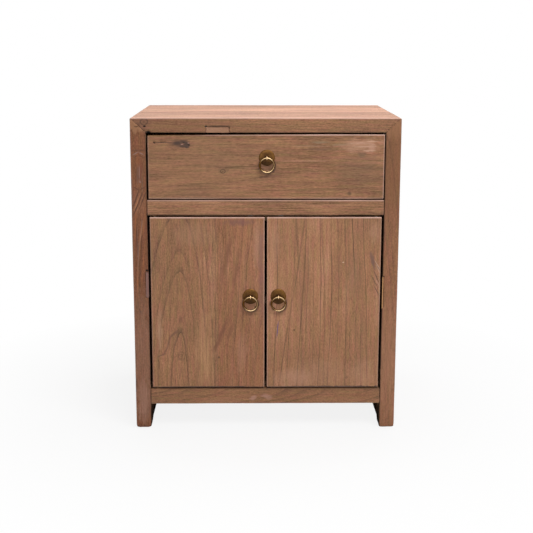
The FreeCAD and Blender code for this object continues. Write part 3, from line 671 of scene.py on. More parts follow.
def closed_copy(node):
    """A copy of a solid's mesh with its seams joined, to trim a board to the joinery."""
    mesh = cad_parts[node].data.copy()
    mesh.materials.clear()
    shape = bmesh.new()
    shape.from_mesh(mesh)
    bmesh.ops.remove_doubles(shape, verts=shape.verts, dist=1e-6)
    bmesh.ops.recalc_face_normals(shape, faces=shape.faces)
    shape.to_mesh(mesh)
    shape.free()
    return new_piece(node + "_trim", mesh)


def lump(shape, centre, sizes, seed, rough=0.25):
    """Adds an uneven ball to a mesh being built, to cut a hole or a chip with."""
    made = bmesh.ops.create_icosphere(shape, subdivisions=3, radius=1.0)
    offset = Vector((seed * 2.3, seed * 7.1, seed * 0.9))
    for point in made["verts"]:
        swell = 1 + rough * noise.noise(point.co * 1.7 + offset)
        point.co = Vector(centre) + Vector(part * size * swell for part, size in zip(point.co, sizes))


def crack(shape, points, width, depth, seed):
    """Adds a jagged wedge along a line of points on a front face, to cut a crack with."""
    out = Vector((0, -1, 0))
    sections = []
    steps = []
    for start, end in zip(points, points[1:]):
        start, end = Vector(start), Vector(end)
        count = max(2, round((end - start).length / (2.5 * MM)))
        steps += [start.lerp(end, index / count) for index in range(count)]
    steps.append(Vector(points[-1]))
    for index, spot in enumerate(steps):
        ahead = steps[min(index + 1, len(steps) - 1)] - steps[max(index - 1, 0)]
        side = ahead.cross(out).normalized()
        share = index / (len(steps) - 1)
        taper = min(1.0, 0.25 + 4 * min(share, 1 - share))
        stray = noise.noise(spot * 420 + Vector((seed, 0, 0))) * width * 0.5
        half = width / 2 * taper * (1 + 0.5 * noise.noise(spot * 300 + Vector((0, seed, 0))))
        middle = spot + side * stray
        sections.append([
            shape.verts.new(middle + side * half + out * MM),
            shape.verts.new(middle - side * half + out * MM),
            shape.verts.new(middle - out * depth * taper),
        ])
    for one, two in zip(sections, sections[1:]):
        for i in range(3):
            j = (i + 1) % 3
            shape.faces.new((one[i], one[j], two[j], two[i]))
    shape.faces.new(sections[0][::-1])
    shape.faces.new(sections[-1])


def cutter(name, flaws, material):
    """An object that cuts a board's flaws, lined with what they collect. Its crossing parts are made into one by
    joining it to a speck far away."""
    shape = bmesh.new()
    for cut, *values in flaws:
        cut(shape, *values)
    bmesh.ops.recalc_face_normals(shape, faces=shape.faces)
    whole = new_piece(name, mesh_of(name, shape), material)
    speck = bmesh.new()
    bmesh.ops.create_cube(speck, size=MM, matrix=Matrix.Translation((5, 5, 5)))
    apart = new_piece(name + "_speck", mesh_of(name + "_speck", speck), material)
    return combined(whole, apart, "UNION", crossing=True)


def worn_board(
    node, body, slot, material, seed, span=None, flaws=(), arris=None, spacing=None, trim=True, droop=(0, 0), foot=0.0,
):
    """A worn board in the place of a solid, trimmed to its joinery, with holes and cracks cut into it.

    span: its low and high end along an axis, where they aren't the solid's. flaws: each one's function and values."""
    wear = settings("wear")
    low, high = (list(corner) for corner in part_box(node))
    for axis, (start, end) in (span or {}).items():
        low[axis], high[axis] = start, end
    name = node + "_worn"
    mesh = worn_mesh(name, low, high, arris or wear.arris, spacing or wear.spacing, wear.wander, seed, droop, foot)
    piece = new_piece(name, mesh, material)
    if trim:
        combined(piece, closed_copy(node), "INTERSECT")
    if flaws:
        combined(piece, cutter(name + "_flaws", flaws, grime()), "DIFFERENCE")
    smoothed(piece.data)
    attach(piece, body)
    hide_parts(node)
    return piece


def finish_node(node, material):
    """Gives a solid that stays in view its finish."""
    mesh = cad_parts[node].data
    mesh.materials.clear()
    mesh.materials.append(material)
    smoothed(mesh, 30)


def plain_elm(node, base="inner", seed=0, **changes):
    """Elm for a plain piece: the grain runs along its longest side."""
    low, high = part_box(node)
    extent = [high[axis] - low[axis] for axis in (X, Y, Z)]
    along, across, deep = sorted((X, Y, Z), key=lambda axis: -extent[axis])
    draw = random.Random(f"{node} {seed}")
    stave = {
        "pith": (low[across] + high[across]) / 2 + draw.uniform(-1.2, 1.2) * extent[across],
        "depth": draw.uniform(0.03, 0.11), "slope": draw.uniform(-0.08, 0.08),
        "level": (low[along] + high[along]) / 2, "ring": draw.uniform(3.5, 6.5) * MM,
        "sway": 6 * MM, "lines": 0.6, "pink": draw.uniform(-0.2, 0.2), "tint": draw.uniform(0.9, 1.1),
    }
    return elm(
        node + "_elm", along, across, deep, low[deep], [stave], base=base, shift=draw.uniform(0, 50), **changes,
    )


# How squarely a face of a board looks along an axis where it counts as its front, back, underside or inside
FACING = 0.72


def faces_front(face):
    """Whether a board's face is part of its front."""
    return face.normal.y < -FACING and face.center.y < FRONT + 4 * MM


def faces_back(face):
    """Whether a board's face looks back into the case."""
    return face.normal.y > FACING


def split(piece, material, chosen):
    """Gives the chosen faces of a board another finish, and leaves what cuts have laid bare."""
    piece.data.materials.append(material)
    place = len(piece.data.materials) - 1
    for face in piece.data.polygons:
        if face.material_index == 0 and chosen(face):
            face.material_index = place


# Boards, as the photograph shows them

# Colours of stains and painted shadows that come more than once
# Painted shadow of the pulls' rings on the wood
GRIME = (0.075, 0.042, 0.028)
SHADOW = (0.034, 0.022, 0.016)
SEAM = (0.085, 0.036, 0.025)
SLANT = (0.085, 0.040, 0.027)
DARK_LINE = (0.085, 0.036, 0.022)
GREY_LINE = (0.16, 0.105, 0.085)
PALE_LINE = (0.20, 0.13, 0.115)
ORANGE_LINE = (0.33, 0.122, 0.048)
AMBER_LINE = (0.36, 0.165, 0.08)
BLOOM = (0.30, 0.20, 0.18)
CHIP = (0.38, 0.205, 0.15)
KNOT = (0.075, 0.045, 0.034)
BLEACHED = (0.50, 0.29, 0.20)
FADED = (0.42, 0.24, 0.16)
OLIVE = (0.235, 0.165, 0.10)
HOOK = (0.13, 0.066, 0.050)
GOLD = (0.48, 0.265, 0.14)
SAND = (0.44, 0.24, 0.16)
WHORL_DARK = (0.10, 0.06, 0.042)
WHORL_PALE = (0.42, 0.25, 0.17)
# Painted shade along the doors' lower edges, over the gap above the bottom rail
DOOR_FOOT = (0.07, 0.042, 0.032)


def ring_marks(pull, across, along):
    """Painted shadows that a hanging ring casts on the wood round and under its wire."""
    low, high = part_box(pull + "_ring")
    centre, reach = (low + high) / 2, (high.x - low.x) / 2 - 2 * MM
    marks = []
    # Where each lies in ring radii from the ring's middle, its width and height, and its strength
    for x, z, wide, tall, strength in (
        (0.1, -1.16, 0.013, 0.004, 0.9), (-0.78, -0.85, 0.005, 0.006, 0.75), (0.85, -0.80, 0.005, 0.006, 0.9),
        (1.14, -0.1, 0.0026, 0.011, 0.8), (-1.12, -0.1, 0.0024, 0.010, 0.8), (0.0, -0.1, 0.011, 0.011, 0.25),
        (0.2, -1.5, 0.016, 0.007, 0.30),
    ):
        spot = {X: (centre.x + x * reach, wide), Z: (centre.z + z * reach, tall)}
        marks.append((spot[across][0], spot[along][0], spot[across][1], spot[along][1], strength, GRIME))
    return marks


# How each board has grown, what marks it and what is cut into it. Elm and worn_board say what the rows mean.
LEFT_SIDE = {
    "staves": [
        {"pith": -0.262, "depth": 0.020, "level": 0.50, "slope": 0.05, "ring": 0.0042, "sway": 0.010, "red": 0.42,
         "lines": 0.8, "dull": 0.2},
    ],
    "shift": 3.1,
}
RIGHT_SIDE = {
    "staves": [{"pith": 0.02, "depth": 0.10, "level": 0.3, "slope": 0.07, "ring": 0.0055, "red": 0.12}],
    "inward": -1, "shift": 8.2,
}
LEFT_SIDE_FLAWS = (
    (lump, (-0.2462, FRONT, 0.3450), (0.0020, 0.004, 0.0024), 3),
    (crack, [(-0.2664, FRONT, 0.6418), (-0.2568, FRONT, 0.6424)], 0.0013, 0.003, 2),
    (lump, (-0.2750, FRONT, 0.1060), (0.0016, 0.0026, 0.007), 5),
    (lump, (-0.2750, FRONT, 0.0850), (0.0013, 0.0022, 0.005), 6),
)
RIGHT_SIDE_FLAWS = ((lump, (0.2458, FRONT, 0.3310), (0.0014, 0.003, 0.0018), 8),)
# The sides' inner faces are darker low down at the back and beside the doors and the drawer
SIDE_SHADOWS = ((0, 0, 0.5, 0.075, 1.6, SHADOW), (FRONT + 0.008, 0.34, 0.016, 0.40, 2.5, SHADOW))

LEFT_POST = {
    "staves": [
        {"pith": -0.2595, "depth": 0.010, "level": 0.43, "slope": 0.11, "ring": 0.0031, "sway": 0.005, "red": 0.88,
         "dull": 0.1, "pink": -0.3, "tint": 0.86},
    ],
    # Its inner edge, beside the doors and the drawer, is darkened with painted shade
    "shift": 5.3, "streaks": 0.7, "contrast": 0.85, "wear": (0.25, -0.6, 0.8, 0.2),
    "stains": (
        (-0.274, 0.098, 0.005, 0.022, 0.55, (0.05, 0.03, 0.022)),
        (-0.259, 0.652, 0.030, 0.024, 2.5, "face"),
        (-0.259, 0.594, 0.015, 0.003, 0.55, (0.09, 0.045, 0.03)),
        (-0.261, 0.545, 0.0020, 0.030, 0.6, GREY_LINE),
        (-0.252, 0.530, 0.0016, 0.030, 0.5, GREY_LINE),
        (-0.272, 0.500, 0.0016, 0.040, 0.5, GREY_LINE),
        (-0.264, 0.380, 0.0020, 0.060, 0.4, GREY_LINE),
        (-0.256, 0.400, 0.0020, 0.050, 0.6, DARK_LINE, 0.04),
        (-0.266, 0.420, 0.0020, 0.044, 0.6, DARK_LINE, -0.03),
        (-0.261, 0.330, 0.0020, 0.050, 0.5, DARK_LINE, 0.05),
        (-0.259, 0.553, 0.013, 0.034, 0.45, (0.13, 0.05, 0.03)),
        # The tongue-shaped mark
        (-0.2645, 0.5880, 0.003, 0.0046, 0.5, BLOOM, 1.5),
        (-0.2525, 0.5880, 0.003, 0.0046, 0.5, BLOOM, -1.5),
        (-0.2640, 0.5820, 0.003, 0.0046, 0.6, SEAM, 1.5),
        (-0.2530, 0.5820, 0.003, 0.0046, 0.6, SEAM, -1.5),
        (-0.2650, 0.5165, 0.003, 0.0050, 0.7, SEAM, -1.3),
        (-0.2520, 0.5165, 0.003, 0.0050, 0.7, SEAM, 1.3),
        # Long lines down the post
        (-0.2680, 0.440, 0.0020, 0.050, 0.6, ORANGE_LINE, 0.05),
        (-0.2600, 0.400, 0.0018, 0.060, 0.6, ORANGE_LINE, 0.08),
        (-0.2530, 0.360, 0.0018, 0.050, 0.55, ORANGE_LINE, 0.10),
        (-0.2655, 0.330, 0.0020, 0.050, 0.55, ORANGE_LINE, 0.04),
        (-0.2490, 0.450, 0.0016, 0.030, 0.5, ORANGE_LINE, 0.10),
        (-0.2590, 0.570, 0.006, 0.020, 0.3, ORANGE_LINE),
        (-0.2570, 0.425, 0.0012, 0.040, 0.6, PALE_LINE, 0.12),
        (-0.2630, 0.370, 0.0012, 0.050, 0.5, PALE_LINE, 0.07),
        (-0.2575, 0.548, 0.0014, 0.020, 0.5, BLOOM),
        (-0.2565, 0.530, 0.0016, 0.003, 0.9, BLOOM),
        # The slanted lines under it
        (-0.2630, 0.488, 0.0015, 0.026, 0.9, AMBER_LINE, 0.38),
        (-0.2555, 0.486, 0.0015, 0.026, 0.9, AMBER_LINE, 0.41),
        (-0.2550, 0.430, 0.0015, 0.026, 0.8, AMBER_LINE, 0.15),
        (-0.259, 0.487, 0.017, 0.032, 0.35, (0.32, 0.15, 0.085)),
        (-0.266, 0.494, 0.0021, 0.028, 0.90, SLANT, 0.36),
        (-0.259, 0.490, 0.0021, 0.030, 0.90, SLANT, 0.40),
        (-0.252, 0.492, 0.0021, 0.028, 0.90, SLANT, 0.42),
        (-0.268, 0.470, 0.0018, 0.018, 0.80, SLANT, 0.45),
        # The lower end, which is lighter
        (-0.258, 0.060, 0.018, 0.060, 0.6, (0.33, 0.18, 0.13)),
        (-0.259, 0.170, 0.040, 0.150, 0.4, (0.30, 0.165, 0.115)),
    ),
}
RIGHT_POST = {
    "staves": [
        {"pith": 0.236, "depth": 0.040, "level": 0.3, "slope": 0.06, "ring": 0.0040, "sway": 0.007, "red": 0.4,
         "lines": 0.5, "dull": -0.15},
    ],
    # Its inner edge, beside the doors and the drawer, is darkened with painted shade
    "shift": 9.4, "streaks": 0.7, "contrast": 0.85, "wear": (-0.8, 0.15, 0.8, 0.2),
    "stains": (
        (0.259, 0.560, 0.060, 0.150, 0.5, (0.150, 0.068, 0.031)),
        (0.259, 0.150, 0.040, 0.170, 0.4, (0.36, 0.18, 0.11)),
        (0.259, 0.655, 0.036, 0.040, 0.9, (0.255, 0.124, 0.064)),
    ),
}

TOP_FACE = {
    "staves": [
        {"pith": -0.13, "depth": 0.06, "slope": 0.01, "ring": 0.009, "lines": 0.5, "tint": 0.93, "broad": 0.8},
        {"start": -0.115, "pith": -0.09, "depth": 0.10, "ring": 0.008, "lines": 0.5, "tint": 0.84, "broad": 0.85},
        {"start": -0.012, "pith": 0.12, "depth": 0.12, "slope": -0.01, "ring": 0.009, "pink": 0.2, "lines": 0.4,
         "tint": 1.07, "broad": 0.75},
        {"start": 0.104, "pith": 0.14, "depth": 0.05, "ring": 0.008, "pink": -0.1, "lines": 0.5, "tint": 0.93,
         "broad": 0.85},
    ],
    # Its front edge is worn paler, partly a painted highlight
    "base": "top", "inward": -1, "shift": 12.4, "contrast": 0.7, "streaks": 1.35, "wear": (1.4, 0.5, 0.4, 0.4),
    "stains": (
        (-0.075, -0.121, 0.005, 0.007, 0.6, (0.30, 0.15, 0.09)),
        # Painted highlight: a pale band along the front edge, where its rounding catches the light
        (FRONT + 0.006, 0, 0.020, 0.36, 0.5, (0.74, 0.46, 0.36)),
    ),
}
TOP_EDGE = {
    "staves": [{"pith": 0.60, "depth": 0.05, "slope": 0.03, "ring": 0.004, "sway": 0.005, "lines": 0.6}],
    # Painted shade along its lower edge over the drawer, and its upper edge worn paler, partly a painted highlight
    "shift": 1.7, "streaks": 0.9, "box": (0.630, TOP, -0.30, 0.30), "wear": (-0.8, 1.0, 0, 0),
    "knots": ((0.6520, -0.2460, 0.006, 0.75),),
    "stains": (
        (0.6450, -0.170, 0.060, 0.150, 0.3, (0.150, 0.072, 0.040)),
        (0.6425, -0.098, 0.0032, 0.027, 0.55, (0.09, 0.055, 0.04)),
        (0.6400, -0.252, 0.009, 0.012, 0.35, (0.10, 0.06, 0.045)),
        (0.6460, -0.262, 0.022, 0.036, 0.6, (0.20, 0.092, 0.058)),
        (0.6370, 0.165, 0.004, 0.009, 0.25, (0.12, 0.07, 0.045)),
    ),
}
TOP_FLAWS = (
    (lump, (-0.2452, FRONT, 0.6432), (0.0030, 0.0040, 0.0016), 11),
    (lump, (-0.2380, FRONT, 0.6310), (0.0055, 0.0050, 0.0026), 12),
    (lump, (-0.1212, FRONT, 0.6428), (0.0026, 0.0014, 0.0018), 13, 0.6),
    (lump, (-0.0745, FRONT, 0.6400), (0.0016, 0.0014, 0.0024), 14, 0.6),
    (
        crack,
        [(-0.1190, FRONT, 0.6436), (-0.104, FRONT, 0.6430), (-0.090, FRONT, 0.6437), (-0.0765, FRONT, 0.6426)],
        0.0009, 0.0014, 15,
    ),
    (lump, (-0.1210, -0.0770, TOP), (0.0024, 0.0020, 0.0030), 16),
)

MIDDLE_RAIL = {
    "staves": [{"pith": 0.40, "depth": 0.03, "ring": 0.0045, "lines": 0.6, "pink": 0.18}],
    # Painted shade along its lower edge over the doors, and its upper edge worn paler, partly a painted highlight
    "shift": 21.0, "streaks": 1.6, "short": 0.7, "wear": (-0.9, 1.0, 0.1, 0.1),
}
BOTTOM_RAIL = {
    "staves": [{"pith": 0.09, "depth": 0.045, "slope": 0.12, "ring": 0.005, "sway": 0.012, "lines": 0.6}],
    # Painted shade along its upper edge under the doors
    "shift": 31.0, "streaks": 0.6, "wear": (0.25, -0.6, 0.1, 0.1),
    "stains": (
        (0.067, -0.0265, 0.0060, 0.010, 0.85, CHIP, 0.3),
        (0.070, 0.0030, 0.0075, 0.013, 0.85, CHIP, -0.2),
    ),
}

DRAWER_FRONT = {
    "staves": [{"pith": 0.545, "depth": 0.055, "ring": 0.005, "sway": 0.007, "lines": 0.55, "dull": 0.1, "broad": 0.9}],
    # Its top edge is worn paler, partly a painted highlight
    "shift": 2.2, "short": 0.5, "wear": (0.7, 1.7, 0.4, 0.7),
    "eyes": ((0.608, -0.168, 0.009, 0.026, 0.009), (0.5518, -0.0876, 0.005, 0.012, 0.003)),
    "knots": ((0.5518, -0.0876, 0.0039, 0.9), (0.552, -0.051, 0.0015, 0.7)),
    "stains": (
        (0.548, -0.140, 0.090, 0.170, 0.22, (0.42, 0.225, 0.120)),
        # The dark knot near the left end
        (0.6070, -0.1740, 0.011, 0.026, 0.7, (0.13, 0.066, 0.046)),
        (0.6090, -0.1790, 0.005, 0.011, 1.1, KNOT),
        (0.6060, -0.1600, 0.008, 0.008, 1.3, KNOT),
        (0.6030, -0.1690, 0.0034, 0.014, 1.1, KNOT),
        (0.6125, -0.1660, 0.0034, 0.014, 0.9, KNOT),
        (0.6065, -0.1700, 0.0012, 0.003, 1.2, (0.30, 0.17, 0.13)),
        (0.6095, -0.1570, 0.0012, 0.002, 1.2, (0.36, 0.21, 0.16)),
        (0.6105, -0.208, 0.0011, 0.026, 1.1, KNOT, 0.03),
        (0.6150, -0.190, 0.0016, 0.026, 0.6, KNOT),
        # The bleached corner at the right
        (0.609, 0.190, 0.0020, 0.030, 0.9, BLEACHED),
        (0.602, 0.200, 0.0016, 0.026, 0.9, BLEACHED),
        (0.594, 0.210, 0.0020, 0.016, 1.0, BLEACHED),
        (0.613, 0.215, 0.0016, 0.016, 1.0, BLEACHED),
        (0.603, 0.215, 0.014, 0.009, 0.6, (0.46, 0.26, 0.18)),
        (0.604, 0.190, 0.017, 0.052, 0.45, (0.44, 0.25, 0.17)),
        (0.611, 0.110, 0.0030, 0.022, 0.8, OLIVE),
        (0.606, 0.150, 0.0020, 0.024, 0.6, OLIVE),
        (0.603, 0.090, 0.0016, 0.052, 0.4, FADED),
        (0.573, 0.085, 0.0016, 0.060, 0.4, FADED),
        (0.597, 0.110, 0.003, 0.040, 0.55, (0.14, 0.09, 0.055)),
        (0.585, 0.195, 0.007, 0.010, 0.55, (0.12, 0.08, 0.055)),
        (0.5065, 0.171, 0.006, 0.005, 0.6, KNOT),
        (0.555, 0.190, 0.040, 0.060, 0.35, (0.15, 0.095, 0.06)),
        (0.600, -0.020, 0.010, 0.070, 0.25, (0.15, 0.085, 0.05)),
        # The ring's painted shadows on the wood
        *ring_marks("drawer_pull", Z, X),
    ),
}
DRAWER_FLAWS = (
    (lump, (-0.1560, FRONT, 0.6052), (0.0026, 0.0012, 0.0010), 21, 0.6),
    (lump, (-0.1665, FRONT, 0.6100), (0.0024, 0.0010, 0.0008), 22, 0.6),
    (lump, (-0.2262, FRONT, 0.6098), (0.0020, 0.0024, 0.0013), 23),
    (crack, [(-0.2250, FRONT, 0.6098), (-0.2020, FRONT, 0.6112)], 0.0006, 0.002, 24),
)

DOOR_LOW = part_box("left_door_panel")[0].z
LEFT_DOOR = {
    "staves": [
        {"pith": -0.1775, "depth": 0.030, "level": 0.34, "slope": 0.115, "ring": 0.005, "sway": 0.004, "skew": 0.66,
         "point": 0.82, "lines": 0.85, "rare": 1.0, "dull": 0.1, "tint": 1.12, "odds": 29.07},
        {"start": -0.0995, "pith": 0.02, "depth": 0.10, "level": 0.22, "slope": 0.05, "ring": 0.008, "sway": 0.014,
         "lines": 0.5, "rare": 3.0, "dull": -0.2, "pink": 0.1, "red": 0.34, "tint": 1.11, "broad": 0.6},
    ],
    # Its top edge is worn paler, partly a painted highlight
    "shift": 41.7, "wear": (0.4, 0.6, 0.2, 1.6),
    "eyes": ((-0.1785, 0.158, 0.006, 0.008, 0.004),),
    "knots": (
        (-0.1785, 0.1590, 0.0042, 0.45), (-0.1770, 0.1600, 0.0075, 0.30), (-0.0985, 0.1574, 0.0019, 0.9),
        (-0.0475, 0.1825, 0.0010, 0.8),
    ),
    "streams": (
        (-0.1405, 0.0009, 0.45, -0.006), (-0.1315, 0.0009, 0.50, -0.002), (-0.1225, 0.0009, 0.50, 0.004),
        (-0.1135, 0.0009, 0.50, 0.010), (-0.1270, 0.0009, 0.45, 0.100), (-0.1360, 0.0009, 0.40, 0.110),
        (-0.1190, 0.0009, 0.35, 0.090), (-0.1045, 0.0010, 0.60, 0.0),
    ),
    "stains": (
        (-0.016, 0.400, 0.014, 0.060, 0.35, (0.42, 0.225, 0.165)),
        (-0.009, 0.340, 0.008, 0.120, 0.5, (0.15, 0.075, 0.07)),
        (-0.055, 0.446, 0.034, 0.009, 0.55, (0.16, 0.075, 0.075)),
        # The redder stave's dark bands
        (-0.093, 0.207, 0.007, 0.048, 0.75, (0.16, 0.068, 0.042), 0.42),
        (-0.073, 0.215, 0.005, 0.030, 0.55, (0.17, 0.075, 0.045), 0.35),
        (-0.080, 0.375, 0.007, 0.060, 0.65, (0.18, 0.078, 0.046), 0.22),
        (-0.062, 0.340, 0.005, 0.060, 0.55, (0.16, 0.070, 0.045), 0.12),
        (-0.050, 0.170, 0.014, 0.050, 0.45, (0.36, 0.185, 0.115), 0.1),
        # The hooked line
        (-0.1925, 0.2085, 0.0044, 0.012, 0.6, HOOK, 1.0),
        (-0.2035, 0.1900, 0.0032, 0.016, 0.6, HOOK, 0.25),
        (-0.2100, 0.1715, 0.0036, 0.011, 0.6, HOOK, 0.62),
        (-0.2195, 0.1620, 0.0046, 0.006, 0.6, HOOK, 1.77),
        (-0.2245, 0.1400, 0.0020, 0.020, 0.45, (0.11, 0.052, 0.036), -0.05),
        # Golden streaks and tints
        (-0.1220, 0.150, 0.0018, 0.060, 0.6, GOLD),
        (-0.1345, 0.175, 0.0018, 0.070, 0.55, GOLD, 0.03),
        (-0.1110, 0.130, 0.0016, 0.050, 0.55, GOLD),
        (-0.1470, 0.160, 0.0016, 0.045, 0.5, GOLD, 0.04),
        (-0.128, 0.170, 0.024, 0.100, 0.38, (0.43, 0.235, 0.120)),
        (-0.222, 0.215, 0.008, 0.050, 0.55, (0.42, 0.24, 0.15)),
        (-0.150, 0.420, 0.050, 0.030, 0.40, (0.33, 0.18, 0.11)),
        (-0.178, 0.240, 0.005, 0.012, 0.55, (0.15, 0.068, 0.045)),
        # Painted shade along its lower edge, over the gap above the bottom rail
        (-0.120, DOOR_LOW, 0.2, 0.0032, 1.8, DOOR_FOOT),
        # The ring's painted shadows on the wood
        *ring_marks("left_pull", X, Z),
    ),
}
RIGHT_DOOR = {
    "staves": [
        {"pith": -0.06, "level": 0.22, "slope": 0.06, "ring": 0.007, "sway": 0.012, "lines": 0.5, "rare": 5.0,
         "pink": 0.15, "tint": 1.22, "broad": 0.4},
        {"start": 0.0995, "pith": -0.02, "depth": 0.08, "level": 0.22, "slope": 0.04, "ring": 0.007, "sway": 0.011,
         "lines": 0.5, "rare": 3.5, "pink": 0.05, "tint": 1.20, "broad": 0.4, "seam": 0.7},
    ],
    # Its top edge is worn paler, partly a painted highlight
    "shift": 6.9, "streaks": 0.62, "wear": (0.6, 0.5, 0.3, 1.5),
    "eyes": ((0.240, 0.330, 0.012, 0.040, 0.009),),
    "knots": (
        (0.0600, 0.2170, 0.0014, 0.9), (0.1720, 0.1120, 0.0018, 0.8), (0.0270, 0.1010, 0.0010, 0.8),
        (0.0720, 0.3430, 0.0009, 0.6),
    ),
    "streams": (
        (0.016, 0.0015, 0.85, 0.02), (0.062, 0.0015, 0.95, 0.05), (0.112, 0.0013, 0.85, 0.0),
        (0.131, 0.0014, 0.80, 0.01), (0.168, 0.0013, 0.75, -0.01), (0.192, 0.0016, 0.95, -0.03),
        (0.203, 0.0012, 0.70, -0.03), (0.215, 0.0013, 0.75, -0.03), (0.038, 0.0012, 0.60, 0.06),
        (0.014, 0.0024, 0.55, 0.15), (0.149, 0.0012, 0.60, 0.0), (0.079, 0.0011, 0.50, 0.02),
        (0.178, 0.0010, 0.50, -0.02),
    ),
    "stains": (
        (0.120, 0.120, 0.090, 0.040, 0.30, (0.42, 0.225, 0.140)),
        # The violet pencil stroke and a chip in the seam
        (0.0248, 0.217, 0.0015, 0.020, 1.0, (0.115, 0.072, 0.17), 0.08),
        (0.1607, 0.3617, 0.0022, 0.0014, 0.9, (0.70, 0.50, 0.38)),
        (0.226, 0.425, 0.015, 0.030, 0.28, (0.46, 0.25, 0.165)),
        (0.185, 0.330, 0.022, 0.060, 0.35, (0.17, 0.105, 0.065)),
        # The whorl at the outer edge
        (0.231, 0.330, 0.0012, 0.017, 1.1, WHORL_DARK, -0.45),
        (0.233, 0.354, 0.0014, 0.016, 1.1, (0.44, 0.27, 0.19), -0.60),
        (0.231, 0.302, 0.0013, 0.014, 1.0, WHORL_DARK, -0.55),
        (0.235, 0.348, 0.0010, 0.014, 1.0, (0.11, 0.066, 0.046), -0.60),
        (0.226, 0.322, 0.0012, 0.017, 1.1, WHORL_DARK, -0.50),
        (0.236, 0.342, 0.0012, 0.017, 1.1, WHORL_PALE, -0.45),
        (0.233, 0.318, 0.0012, 0.015, 1.1, WHORL_PALE, -0.50),
        (0.222, 0.365, 0.005, 0.022, 0.8, (0.15, 0.085, 0.07), -0.3),
        # Broad tints
        (0.060, 0.110, 0.050, 0.024, 0.45, SAND),
        (0.205, 0.115, 0.030, 0.045, 0.30, SAND),
        (0.020, 0.400, 0.012, 0.060, 0.30, (0.42, 0.23, 0.15)),
        (0.078, 0.300, 0.016, 0.120, 0.25, (0.18, 0.085, 0.05), 0.12),
        # Painted shade along its lower edge, over the gap above the bottom rail
        (0.120, DOOR_LOW, 0.2, 0.0032, 1.8, DOOR_FOOT),
        # The ring's painted shadows on the wood
        *ring_marks("right_pull", X, Z),
    ),
}
DOOR_FLAWS = {
    "left": ((lump, (-0.0985, FRONT, 0.1574), (0.0010, 0.002, 0.0011), 31),),
    "right": ((lump, (0.0600, FRONT, 0.2170), (0.0008, 0.002, 0.0010), 32),),
}


SCREW_STEEL = (0.42, 0.41, 0.40)


# Pieces


class NIGHTSTAND_OT_sides(bpy.types.Operator):
    """Dress the two slab sides, with their knots, slips' cracks and worn feet"""

    bl_idname = "nightstand.sides"
    bl_label = "Sides"

    def execute(self, context):
        for node, inward, outer, board, post, flaws in (
            ("side_left", 1, LEFT, LEFT_SIDE, LEFT_POST, LEFT_SIDE_FLAWS),
            ("side_right", -1, RIGHT, RIGHT_SIDE, RIGHT_POST, RIGHT_SIDE_FLAWS),
        ):
            low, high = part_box(node)
            wood = elm("elm_" + node, Z, Y, X, outer, box=(FRONT, high.y, 0, TOP), **board)
            front = elm(f"elm_{node}_front", Z, X, Y, FRONT, box=(low.x, high.x, 0, TOP), **post)
            inside = plain_elm(node, gloss=0.0, stains=SIDE_SHADOWS)
            piece = worn_board(node, "case", "elm_case", wood, 3, flaws=flaws, foot=2.4)
            split(piece, front, faces_front)
            # The inner face, down to the bottoms of the mortises
            split(piece, inside, lambda face: face.normal.x * inward > FACING and abs(face.center.x) < 0.262)
        return {"FINISHED"}


class NIGHTSTAND_OT_top(bpy.types.Operator):
    """Dress the top: bleached staves on top, brown on its front edge"""

    bl_idname = "nightstand.top"
    bl_label = "Top"

    def execute(self, context):
        bleached = elm("elm_top", X, Y, Z, TOP, box=(FRONT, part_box("top_board")[1].y, LEFT, RIGHT), **TOP_FACE)
        edge = elm("elm_top_front", X, Z, Y, FRONT, **TOP_EDGE)
        piece = worn_board("top_board", "case", "elm_top", bleached, 3, flaws=TOP_FLAWS)
        split(piece, edge, faces_front)
        split(piece, plain_elm("top_board"), lambda face: face.normal.z < -FACING)
        return {"FINISHED"}


class NIGHTSTAND_OT_rails(bpy.types.Operator):
    """Dress the two front rails, with fine gaps at their shoulders"""

    bl_idname = "nightstand.rails"
    bl_label = "Front rails"

    def execute(self, context):
        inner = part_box("side_right")[0].x - settings("wear").joint_gap
        for node, rail, seed in (("middle_rail", MIDDLE_RAIL, 4), ("bottom_rail", BOTTOM_RAIL, 5)):
            low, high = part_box(node)
            wood = elm("elm_" + node, X, Z, Y, FRONT, box=(low.z, high.z, -inner, inner), **rail)
            worn_board(node, "case", "elm_case", wood, seed, span={X: (-inner, inner)})
        return {"FINISHED"}


class NIGHTSTAND_OT_slips(bpy.types.Operator):
    """Set the let-in repair slips, with a dark gap around each"""

    bl_idname = "nightstand.slips"
    bl_label = "Repair slips"

    def execute(self, context):
        gap = settings("wear").slip_gap
        for node, along, share, shade, trims, seed in (
            ("top_edge_patch", X, 0.8, (0.33, 0.175, 0.108), {X: (gap * 2, gap * 2), Z: (0, gap * 1.8)}, 6),
            ("left_post_patch", Z, 1.3, (0.21, 0.110, 0.090), {X: (gap, 0), Z: (gap * 0.4, gap)}, 7),
            ("right_post_patch", Z, 2.2, (0.47, 0.245, 0.11), {X: (0, gap * 0.8), Z: (gap, gap)}, 8),
        ):
            low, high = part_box(node)
            across = Z if along == X else X
            stave = {"pith": low[across] - 0.02, "depth": 0.05, "ring": 0.0032, "lines": 0.5}
            tint = (low[across], low[along], 0.1, 0.2, share, shade)
            wood = elm("elm_" + node, along, across, Y, FRONT, [stave], shift=seed * 7.7, stains=(tint,))
            span = {axis: (low[axis] + start, high[axis] - end) for axis, (start, end) in trims.items()}
            worn_board(
                node, "case", "elm_patch", wood, seed, span=span, arris=0.5 * MM, spacing=2.5 * MM, trim=False,
            )
        return {"FINISHED"}


